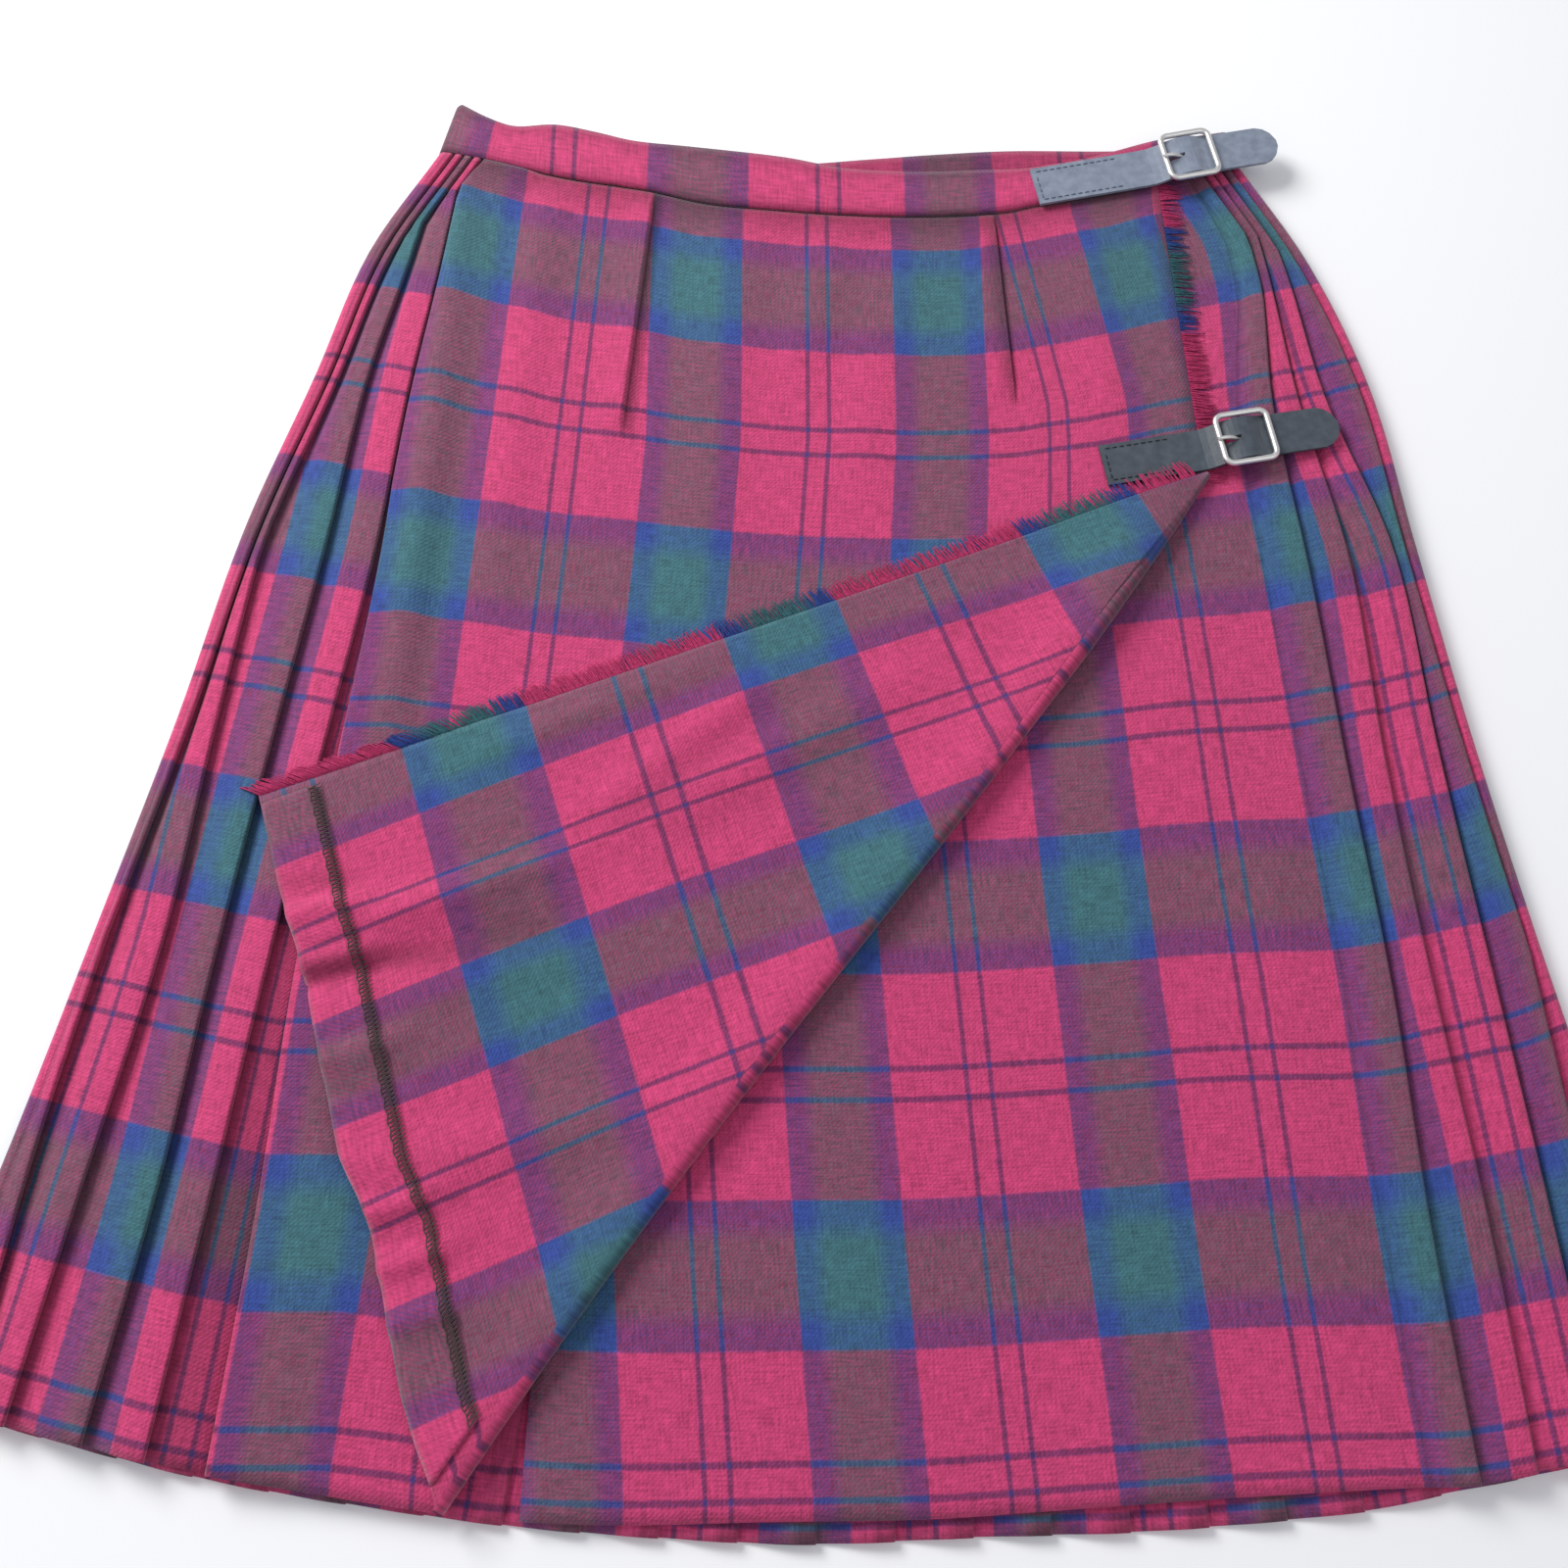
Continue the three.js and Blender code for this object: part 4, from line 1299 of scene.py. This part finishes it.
@dataclass
class Fringe(Piece):
    """Frayed weft yarns along an edge, slanted and uneven."""

    name: str
    yarn: bpy.types.Material
    start: Pair
    end: Pair
    out: Pair
    reach: float
    slant: float
    root: Callable[[float], Quad]
    spacing: float = 0.5
    rolled: float = 0.0
    slot: str = "fringe"

    def build(self) -> bpy.types.Object:
        """Makes all the yarns as one mesh.

        Returns:
            The piece, placed and declared.
        """
        rng = random.Random(len(self.name) * 7 + 5)
        net = Net()
        long = math.dist(self.start, self.end)
        along = ((self.end[0] - self.start[0]) / long, (self.end[1] - self.start[1]) / long)
        count = int(long / self.spacing)
        for i in range(count):
            share = (i + 0.5) / count
            x, y, z, phase = self.root(share)
            # Past three quarters of its way a rolled fringe leans over in bunches.
            rolled = self.rolled * smooth(0.74, 0.84, share)
            bunch = math.sin(i * 0.9) * 0.5 + math.sin(i * 0.23 + 1.3) * 0.8
            lean = self.slant + (bunch * 0.9 + rng.uniform(-1.0, 1.0)) * (1 - rolled / 2)
            lean += (5.5 + bunch) * rolled
            reach = mix(self.reach * rng.uniform(0.72, 1.05), 6.3 + 0.9 * bunch, 0.85 * rolled)
            lift = rng.uniform(-0.2, 0.35) + 1.2 * rolled
            curl = rng.uniform(-0.9, 0.9)
            wide = rng.uniform(0.28, 0.42) + 0.12 * rolled
            before = None
            for step in range(6):
                t = step / 5
                side = lean * t + curl * math.sin(math.pi * t) * 0.5
                px = x + self.out[0] * (reach * t - 0.6) + along[0] * side
                py = y + self.out[1] * (reach * t - 0.6) + along[1] * side
                pz = z + lift * math.sin(math.pi * t) - 0.25 * t
                r = wide * (1 - 0.65 * t * t)
                ring = [net.put(px + along[0] * r * a, py + along[1] * r * a, pz + r * b, 0.0,
                                phase)
                        for a, b in ((1, 0), (0, 1), (-1, 0), (0, -1))]
                if before:
                    for k in range(4):
                        m = (k + 1) % 4
                        net.faces.append((before[k], ring[k], ring[m], before[m]))
                else:
                    net.faces.append(tuple(ring))
                before = ring
            net.faces.append(tuple(reversed(before)))
        return self.declare(net.piece(f"v_{self.name}", 0, self.yarn))


def upper_root(share: float) -> Quad:
    """Root of a yarn on the over apron's fringed edge, from the band down.

    Args:
        share: 0 at the band, 1 at the turned corner.

    Returns:
        x, y and z, and the check's phase down.
    """
    row = mix(0.004, APEX_ROW - 0.004, share)
    x = mix(FRINGE_EDGE_TOP, APEX[0], row / APEX_ROW)
    y = DRAFT.y(Face.FRONT, x, row)
    return x, y, APRON_Z, over_down(x, y + 7)


def lower_root(share: float) -> Quad:
    """Root of a yarn on the turned corner's fringed edge, from the fold's top down."""
    p = flap_point(mix(0.012, 0.998, share), 1.0)
    return p.x, p.y, p.z, p.down


def linear(code: str) -> Quad:
    """Linear colour of an sRGB hex code."""
    parts = [int(code[i:i + 2], 16) / 255 for i in (0, 2, 4)]
    return (*(c / 12.92 if c <= 0.04045 else ((c + 0.055) / 1.055) ** 2.4 for c in parts), 1.0)


class Graph:
    """A material's nodes, added one at a time."""

    def __init__(self, name: str) -> None:
        """Starts a material with only its output.

        Args:
            name: the material's name.
        """
        self.material = bpy.data.materials.new(name)
        self.material.use_nodes = True
        self.tree = self.material.node_tree
        self.tree.nodes.clear()

    def add(self, kind: str, inputs: dict | None = None, **settings: object) -> bpy.types.Node:
        """Adds a node.

        Args:
            kind: its type, without the leading ShaderNode.
            inputs: a value, an output socket or a node, whose first output it takes, for each
                input by name or number.
            settings: its own settings.

        Returns:
            The node.
        """
        node = self.tree.nodes.new(f"ShaderNode{kind}")
        for key, value in settings.items():
            if key == "stops":
                self._stops(node, value)
            else:
                setattr(node, key, value)
        for key, value in (inputs or {}).items():
            if isinstance(value, bpy.types.Node):
                value = value.outputs[0]
            if isinstance(value, bpy.types.NodeSocket):
                self.tree.links.new(value, node.inputs[key])
            else:
                node.inputs[key].default_value = value
        return node

    @staticmethod
    def _stops(node: bpy.types.Node, stops: Sequence[tuple[float, Quad]]) -> None:
        """Sets a colour ramp's stops.

        Args:
            node: the ramp.
            stops: pairs of place and colour.
        """
        ramp = node.color_ramp
        while len(ramp.elements) > 1:
            ramp.elements.remove(ramp.elements[0])
        ramp.elements[0].position, ramp.elements[0].color = stops[0]
        for position, color in stops[1:]:
            ramp.elements.new(position).color = color


@dataclass(frozen=True)
class CheckedWool:
    """Twill wool with the check woven in: it gives the skirt its colour and soft grain."""

    name: str = "worsted_twill_wool"
    green: str = "3c6970"
    blue: str = "31478e"
    crimson: str = "c23d6d"
    line: str = "443270"
    twill_mm: float = 1.9      # the real twill's 0.9 mm ribs are drawn twice as wide
    roughness: float = 0.86

    def stops(self) -> list[tuple[float, Quad]]:
        """Colours from the green band's middle to the crimson one's, over half a repeat.

        Returns:
            Pairs of place and colour.
        """
        green, blue = linear(self.green), linear(self.blue)
        crimson, line = linear(self.crimson), linear(self.line)
        rows = [(0.0, green), (0.08, green), (0.135, blue), (0.186, blue), (0.194, crimson),
                (0.446, crimson), (0.452, line), (0.463, line), (0.469, crimson)]
        return [(2 * place, color) for place, color in rows]

    def build(self) -> bpy.types.Material:
        """Makes the material.

        Returns:
            The material.
        """
        g = Graph(self.name)
        uv = g.add("UVMap", uv_map="cloth")
        axes = g.add("SeparateXYZ", {0: uv})
        u, v = axes.outputs[0], axes.outputs[1]
        mm = g.add("VectorMath", {0: uv, 1: (SETT, SETT_DOWN, 0)}, operation="MULTIPLY")
        wander = g.add("TexNoise", {"Vector": mm, "Scale": 0.35, "Detail": 2.0})
        shift = g.add("Math", {0: wander, 1: 0.006, 2: -0.003}, operation="MULTIPLY_ADD")
        colors = []
        for axis in (u, v):
            moved = g.add("Math", {0: axis, 1: shift}, operation="ADD")
            half = g.add("Math", {0: moved, 1: 0.5}, operation="PINGPONG")
            place = g.add("Math", {0: half, 1: 2.0}, operation="MULTIPLY")
            colors.append(g.add("ValToRGB", {0: place}, stops=self.stops()))
        stretch = [(1.1, 0.12, 1.0), (0.12, 1.1, 1.0)]
        yarns = []
        for scale, color in zip(stretch, colors):
            vector = g.add("VectorMath", {0: mm, 1: scale}, operation="MULTIPLY")
            noise = g.add("TexNoise", {"Vector": vector, "Scale": 1.1, "Detail": 3.0})
            shade = g.add("Math", {0: noise, 1: 2.1, 2: -0.04}, operation="MULTIPLY_ADD")
            yarns.append(g.add("VectorMath", {0: color, "Scale": shade},
                               operation="SCALE"))
        parts = g.add("SeparateXYZ", {0: mm})
        run = g.add("Math", {0: parts.outputs[0], 1: parts.outputs[1]}, operation="ADD")
        ribs = g.add("Math", {0: run, 1: self.twill_mm}, operation="DIVIDE")
        twill = g.add("Math", {0: ribs, 1: 0.5}, operation="PINGPONG")
        fuzz = g.add("TexNoise", {"Vector": mm, "Scale": 1.1, "Detail": 4.0})
        hairs = g.add("Math", {0: fuzz, 1: 0.6, 2: 0.075}, operation="MULTIPLY_ADD")
        share = g.add("Math", {0: twill, 1: 0.5, 2: hairs}, operation="MULTIPLY_ADD")
        both = g.add("Mix", {0: share, 6: yarns[0], 7: yarns[1]}, data_type="RGBA").outputs[2]
        warp = g.add("SeparateColor", {0: colors[0]})
        weft = g.add("SeparateColor", {0: colors[1]})
        unlike = g.add("Math", {0: warp, 1: weft}, operation="SUBTRACT")
        apart = g.add("Math", {0: unlike}, operation="ABSOLUTE")
        darker = g.add("Math", {0: apart, 1: -0.62, 2: 1.0}, operation="MULTIPLY_ADD")
        # The shade attribute is painted shade: it darkens the cloth's colour inside folds, along
        # darts, under the waistband and in the turned-back corner's creases.
        inside = g.add("Attribute", attribute_name="shade").outputs["Fac"]
        light = g.add("Math", {0: darker, 1: inside}, operation="MULTIPLY")
        color = g.add("VectorMath", {0: both, "Scale": light}, operation="SCALE")
        height = g.add("Math", {0: twill, 1: 0.8, 2: fuzz}, operation="MULTIPLY_ADD")
        bump = g.add("Bump", {"Height": height, "Distance": 0.00035, "Strength": 0.6})
        shader = g.add("BsdfPrincipled", {"Base Color": color, "Roughness": self.roughness,
                                          "Sheen Weight": 0.25, "Sheen Roughness": 0.5,
                                          "Specular IOR Level": 0.25, "Normal": bump})
        g.add("OutputMaterial", {0: shader})
        return g.material


@dataclass(frozen=True)
class FrayedYarn:
    """Loose weft yarn: it gives the fringe the check's own weft colours, duller and deeper."""

    name: str = "frayed_wool_yarn"
    wool: CheckedWool = CheckedWool()

    def build(self) -> bpy.types.Material:
        """Makes the material.

        Returns:
            The material.
        """
        g = Graph(self.name)
        uv = g.add("UVMap", uv_map="cloth")
        v = g.add("SeparateXYZ", {0: uv}).outputs[1]
        half = g.add("Math", {0: v, 1: 0.5}, operation="PINGPONG")
        place = g.add("Math", {0: half, 1: 2.0}, operation="MULTIPLY")
        color = g.add("ValToRGB", {0: place}, stops=self.wool.stops()[:6])
        where = g.add("TexCoord").outputs["Object"]
        noise = g.add("TexNoise", {"Vector": where, "Scale": 900.0, "Detail": 2.0})
        shade = g.add("Math", {0: noise, 1: 0.9, 2: 0.34}, operation="MULTIPLY_ADD")
        dyed = g.add("VectorMath", {0: color, "Scale": shade}, operation="SCALE")
        shader = g.add("BsdfPrincipled", {"Base Color": dyed, "Roughness": 0.9,
                                          "Specular IOR Level": 0.2})
        g.add("OutputMaterial", {0: shader})
        return g.material


@dataclass(frozen=True)
class SewingThread:
    """Spun thread: a dull dark line that reads as stitching against the cloth."""

    name: str
    code: str

    def build(self) -> bpy.types.Material:
        """Makes the material.

        Returns:
            The material.
        """
        g = Graph(self.name)
        where = g.add("TexCoord").outputs["Object"]
        noise = g.add("TexNoise", {"Vector": where, "Scale": 1500.0})
        shade = g.add("Math", {0: noise, 1: 0.8, 2: 0.6}, operation="MULTIPLY_ADD")
        dyed = g.add("VectorMath", {0: linear(self.code)[:3], "Scale": shade},
                     operation="SCALE")
        shader = g.add("BsdfPrincipled", {"Base Color": dyed, "Roughness": 0.8})
        g.add("OutputMaterial", {0: shader})
        return g.material


@dataclass(frozen=True)
class Hide:
    """Dyed strap leather: a fine grain that catches light along its small creases."""

    name: str
    code: str
    deep: str
    roughness: float = 0.48

    def build(self) -> bpy.types.Material:
        """Makes the material.

        Returns:
            The material.
        """
        g = Graph(self.name)
        where = g.add("TexCoord").outputs["Object"]
        wear = g.add("TexNoise", {"Vector": where, "Scale": 260.0, "Detail": 6.0})
        color = g.add("ValToRGB", {0: wear}, stops=[(0.25, linear(self.deep)),
                                                    (0.75, linear(self.code))])
        grain = g.add("TexVoronoi", {"Vector": where, "Scale": 1400.0},
                      feature="DISTANCE_TO_EDGE")
        bump = g.add("Bump", {"Height": grain, "Distance": 0.0002, "Strength": 0.5})
        shader = g.add("BsdfPrincipled", {"Base Color": color, "Roughness": self.roughness,
                                          "Normal": bump})
        g.add("OutputMaterial", {0: shader})
        return g.material


@dataclass(frozen=True)
class Nickel:
    """Plated buckle wire: bright and slightly brushed, so that it shows pale edges."""

    name: str = "nickel_plated_steel"
    code: str = "f0ede8"

    def build(self) -> bpy.types.Material:
        """Makes the material.

        Returns:
            The material.
        """
        g = Graph(self.name)
        where = g.add("TexCoord").outputs["Object"]
        rub = g.add("TexNoise", {"Vector": where, "Scale": 700.0, "Detail": 3.0})
        rough = g.add("Math", {0: rub, 1: 0.25, 2: 0.28}, operation="MULTIPLY_ADD")
        shader = g.add("BsdfPrincipled", {"Base Color": linear(self.code), "Metallic": 1.0,
                                          "Roughness": rough})
        g.add("OutputMaterial", {0: shader})
        return g.material


@dataclass(frozen=True)
class Studio:
    """A pale floor under soft light, seen from the photograph's own angle."""

    back: float = 0.196     # the camera's place in front of the middle, in metres
    high: float = 0.592     # and over it
    lens: float = 36.0
    floor: str = "fafaf9"
    sky: str = "f2f5ff"
    sky_power: float = 0.47
    lights: tuple[tuple[str, Triple, float, float], ...] = (
        ("key", (-1.05, 0.9, 1.05), 0.8, 29.0),
        ("fill", (0.9, -0.4, 1.6), 1.3, 4.0),
    )

    def build(self) -> None:
        """Makes the floor, the lights and the camera."""
        scene = bpy.context.scene
        look = Vector((-MIDDLE[0] * MM, -MIDDLE[1] * MM, 0.0))
        g = Graph("matt_paper")
        shader = g.add("BsdfPrincipled", {"Base Color": linear(self.floor), "Roughness": 0.95})
        g.add("OutputMaterial", {0: shader})
        mesh = bpy.data.meshes.new("floor")
        mesh.from_pydata([(-4, -4, 0), (4, -4, 0), (4, 4, 0), (-4, 4, 0)], [], [(0, 1, 2, 3)])
        mesh.materials.append(g.material)
        floor = bpy.data.objects.new("floor", mesh)
        scene.collection.objects.link(floor)
        world = bpy.data.worlds.new("studio")
        world.use_nodes = True
        shade = world.node_tree.nodes["Background"]
        shade.inputs[0].default_value = linear(self.sky)
        shade.inputs[1].default_value = self.sky_power
        scene.world = world
        for name, place, size, power in self.lights:
            light = bpy.data.lights.new(name, "AREA")
            light.size = size
            light.energy = power
            lamp = bpy.data.objects.new(name, light)
            lamp.location = place
            aim = (look - Vector(place)).to_track_quat("-Z", "Y")
            lamp.rotation_euler = aim.to_euler()
            scene.collection.objects.link(lamp)
        view = bpy.data.cameras.new("photo_view")
        view.lens, view.sensor_width = self.lens, 36.0
        view.clip_start = 0.01
        camera = bpy.data.objects.new("photo_view", view)
        place = look + Vector((0.0, -self.back, self.high))
        camera.matrix_world = Matrix.Translation(place) @ (
            (look - place).to_track_quat("-Z", "Y").to_matrix().to_4x4())
        scene.collection.objects.link(camera)
        scene.camera = camera
        scene.view_settings.view_transform = "Standard"


@dataclass(frozen=True)
class Seat:
    """Where a strap lies: its cut end, turn and length, and its bar's place and height."""

    x: float
    y: float
    turn: float
    long: float
    bar: float
    rest: float
    crest: float = 13.9     # height of every strap's middle over its bar
    beyond: float = 11.6    # and past the buckle

    def at(self, u: float, v: float, z: float) -> Triple:
        """A point from its place along and across the strap.

        Args:
            u: distance from the cut end.
            v: distance from the middle line.
            z: height over the floor.

        Returns:
            x, y and z, in millimetres.
        """
        a = math.radians(self.turn)
        return (self.x + u * math.cos(a) - v * math.sin(a),
                self.y + u * math.sin(a) + v * math.cos(a), z)

    def top(self, u: float) -> float:
        """Height of the strap's middle at u.

        Args:
            u: distance from the cut end.

        Returns:
            The height, in millimetres.
        """
        u = u - self.bar
        if u < 0:
            return mix(self.rest, self.crest, smooth(-19, -1, u))
        return mix(self.crest, self.beyond, smooth(1, 9, u)) - 0.6 * smooth(23, 42, u)

    def matrix(self) -> Matrix:
        """Places a part that was made round the buckle's bar.

        Returns:
            The matrix, in metres.
        """
        x, y, z = self.at(self.bar, 0, Buckle.bar_z)
        place = Vector((x - MIDDLE[0], y - MIDDLE[1], z)) * MM
        return Matrix.Translation(place) @ Matrix.Rotation(math.radians(self.turn), 4, "Z")


SEATS = {
    "upper": Seat(112.5, 278.5, 11.5, 112, 70.5, 9.1),
    "lower": Seat(134.5, 138.5, 9.9, 101, 60.0, 7.6),
}


def bent_wire(name: str, path: Sequence[Triple], radius: float,
              tip: float = 1.0) -> bpy.types.Object:
    """Bends a round wire along a path.

    Args:
        name: the wire's name.
        path: control points of its middle, in millimetres.
        radius: half its width.
        tip: the share of its width that its far end keeps.

    Returns:
        The wire as a mesh with closed ends.
    """
    curve = bpy.data.curves.new(name, "CURVE")
    curve.dimensions = "3D"
    line = curve.splines.new("NURBS")
    line.points.add(len(path) - 1)
    for i, place in enumerate(path):
        line.points[i].co = (*(Vector(place) * MM), 1)
    line.points[len(path) - 1].radius = tip
    line.order_u = 3
    line.use_endpoint_u = True
    curve.bevel_depth = radius * MM
    curve.bevel_resolution = 3
    curve.use_fill_caps = True
    wire = bpy.data.objects.new(name, curve)
    bpy.context.scene.collection.objects.link(wire)
    bpy.ops.object.select_all(action="DESELECT")
    wire.select_set(True)
    bpy.context.view_layer.objects.active = wire
    bpy.ops.object.convert(target="MESH")
    return bpy.context.object


@dataclass
class Wirework(Piece):
    """A plated wire part, bent round the place of the buckle's bar."""

    name: str
    seat: Seat
    nickel: bpy.types.Material
    slot: str = "nickel"

    def seated(self, piece: bpy.types.Object) -> bpy.types.Object:
        """Args:
            piece: the bent part.

        Returns:
            The same object.
        """
        piece.name = f"v_{self.name}"
        piece.data.transform(self.seat.matrix())
        piece.data.materials.clear()
        piece.data.materials.append(self.nickel)
        piece.data.shade_smooth()
        return self.declare(piece)


@dataclass
class Buckle(Wirework):
    """A rounded wire buckle with a bar across its middle."""

    bar_z: float = 10.4
    long: float = 11.0
    tall: float = 11.4
    corner: float = 3.4
    rise: float = 3.65
    tube: float = 1.3
    bar_radius: float = 0.8

    def build(self) -> bpy.types.Object:
        """Bends the frame's wire, sets the bar in it and joins them.

        Returns:
            The piece, placed and declared.
        """
        bpy.ops.object.select_all(action="DESELECT")
        bpy.ops.mesh.primitive_plane_add(size=2 * MM)
        frame_wire = bpy.context.object
        frame_wire.scale = (self.long, self.tall, 1)
        bpy.ops.object.transform_apply(location=False, rotation=False, scale=True)
        bpy.ops.object.mode_set(mode="EDIT")
        bpy.ops.mesh.select_all(action="SELECT")
        bpy.ops.mesh.bevel(offset=self.corner * MM, segments=6, affect="VERTICES")
        bpy.ops.mesh.select_all(action="SELECT")
        bpy.ops.mesh.delete(type="ONLY_FACE")
        bpy.ops.mesh.select_all(action="SELECT")
        bpy.ops.transform.translate(value=(0, 0, self.rise * MM))
        bpy.ops.object.mode_set(mode="OBJECT")
        bpy.ops.object.convert(target="CURVE")
        frame_wire.data.bevel_depth = self.tube * MM
        frame_wire.data.bevel_resolution = 4
        bpy.ops.object.convert(target="MESH")
        frame_wire = bpy.context.object
        bpy.ops.object.select_all(action="DESELECT")
        half = self.tall
        bar = bent_wire("bar", [(0, -half, self.rise), (0, 0.5 - half, 1.6), (0, 1.6 - half, 0.1),
                                (0, 3 - half, 0), (0, half - 3, 0), (0, half - 1.6, 0.1),
                                (0, half - 0.5, 1.6), (0, half, self.rise)], self.bar_radius)
        frame_wire.select_set(True)
        bar.select_set(True)
        bpy.context.view_layer.objects.active = frame_wire
        bpy.ops.object.join()
        return self.seated(bpy.context.object)


@dataclass
class Prong(Wirework):
    """The buckle's wire prong, looped round the bar."""

    loop: float = 1.8
    radius: float = 0.9
    tip: float = 0.7       # the share of its width that is left there

    def build(self) -> bpy.types.Object:
        """Bends the wire from its loop to its tip and thins the tip.

        Returns:
            The piece, placed and declared.
        """
        path = [(self.loop * math.cos(math.radians(deg)),
                 self.loop * math.sin(math.radians(deg))) for deg in range(-200, 91, 29)]
        path += [(-2.6, 2.0), (-4.4, 3.3), (-6.4, 4.9), (-9.6, 5.7), (-12.6, 5.6)]
        wire = bent_wire(f"v_{self.name}", [(u, 0, z) for u, z in path], self.radius, self.tip)
        return self.seated(wire)


@dataclass
class StrapStitches:
    """The stitches that hold a strap's cut end to the cloth."""

    which: str
    seat: Seat
    thread: bpy.types.Material
    pitch: float = 3.1
    stitch: float = 2.1
    inset: float = 2.0
    first: float = 2.2
    clear: float = 32.0    # what stays unstitched beside the buckle's bar
    radius: float = 0.3

    def build(self) -> bpy.types.Object:
        """Makes the rows of stitches as one mesh.

        Returns:
            The piece, placed and put on the root body.
        """
        net = Net()
        half = STRAP_HALF - self.inset
        count = int((self.seat.bar - self.clear) / self.pitch)
        for v in (-half, half):
            for i in range(count):
                start = self.first + i * self.pitch
                net.cord(self.arch((start, v), (start + self.stitch, v)), self.radius)
        for i in range(int(2 * half / self.pitch)):
            v = -half + 0.8 + i * self.pitch
            net.cord(self.arch((self.inset, v), (self.inset, v + self.stitch)), self.radius)
        piece = net.piece(f"v_stitches_{self.which}", 0, self.thread)
        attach(piece, "root")
        return piece

    def arch(self, start: Pair, end: Pair) -> list[Triple]:
        """Path of one stitch, which dips into the leather at both ends.

        Args:
            start: u and v where it starts.
            end: u and v where it ends.

        Returns:
            Its points, in millimetres.
        """
        path = []
        for i in range(5):
            t = i / 4
            u, v = mix(start[0], end[0], t), mix(start[1], end[1], t)
            z = self.seat.top(u) + 0.55 + 0.3 * math.sin(math.pi * t)
            path.append(self.seat.at(u, v, z))
        return path


def main() -> None:
    """Builds the skirt and its setting, in order."""
    logging.basicConfig(level=logging.INFO, format="%(message)s")
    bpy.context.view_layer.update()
    wool = CheckedWool().build()
    yarn = FrayedYarn().build()
    under = UnderApron(wool).build()
    right = SidePleats("pleats_right", wool).build()
    back = BackPleats(wool).build()
    left = SidePleats("pleats_left", wool).build()
    over = OverApron(wool).build()
    hem = HemTurnup(wool)
    turnup = hem.build()
    overlock = Overlock(hem, SewingThread("dark_overlock_thread", "514440").build()).build()
    band = Waistband(wool).build()
    edge = (FLAP_CORNER[0] - APEX[0], FLAP_CORNER[1] - APEX[1])
    outward = (edge[1] / FLAP_LONG, -edge[0] / FLAP_LONG)
    upper = Fringe("fringe_upper", yarn, (168, 265), (177, 134.5), (1.0, 0.07), 11.0, 1.6,
                   upper_root).build()
    lower = Fringe("fringe_lower", yarn, APEX, FLAP_CORNER, outward, 9.2, 2.2, lower_root,
                   rolled=1.0).build()
    hides = {"upper": Hide("blue_grey_strap_leather", "8d96a5", "727b8b"),
             "lower": Hide("slate_strap_leather", "4e565f", "3a4149")}
    threads = {"upper": SewingThread("grey_linen_thread", "5c6678"),
               "lower": SewingThread("black_linen_thread", "23252c")}
    nickel = Nickel().build()
    for which, seat in SEATS.items():
        hide = hides[which].build()
        for kind in ("strap", "tab"):
            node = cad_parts[f"{kind}_{which}"]
            node.data.materials.clear()
            node.data.materials.append(hide)
        StrapStitches(which, seat, threads[which].build()).build()
        Buckle(f"buckle_{which}", seat, nickel).build()
        Prong(f"prong_{which}", seat, nickel).build()
    Studio().build()


if __name__ == "__main__":
    main()
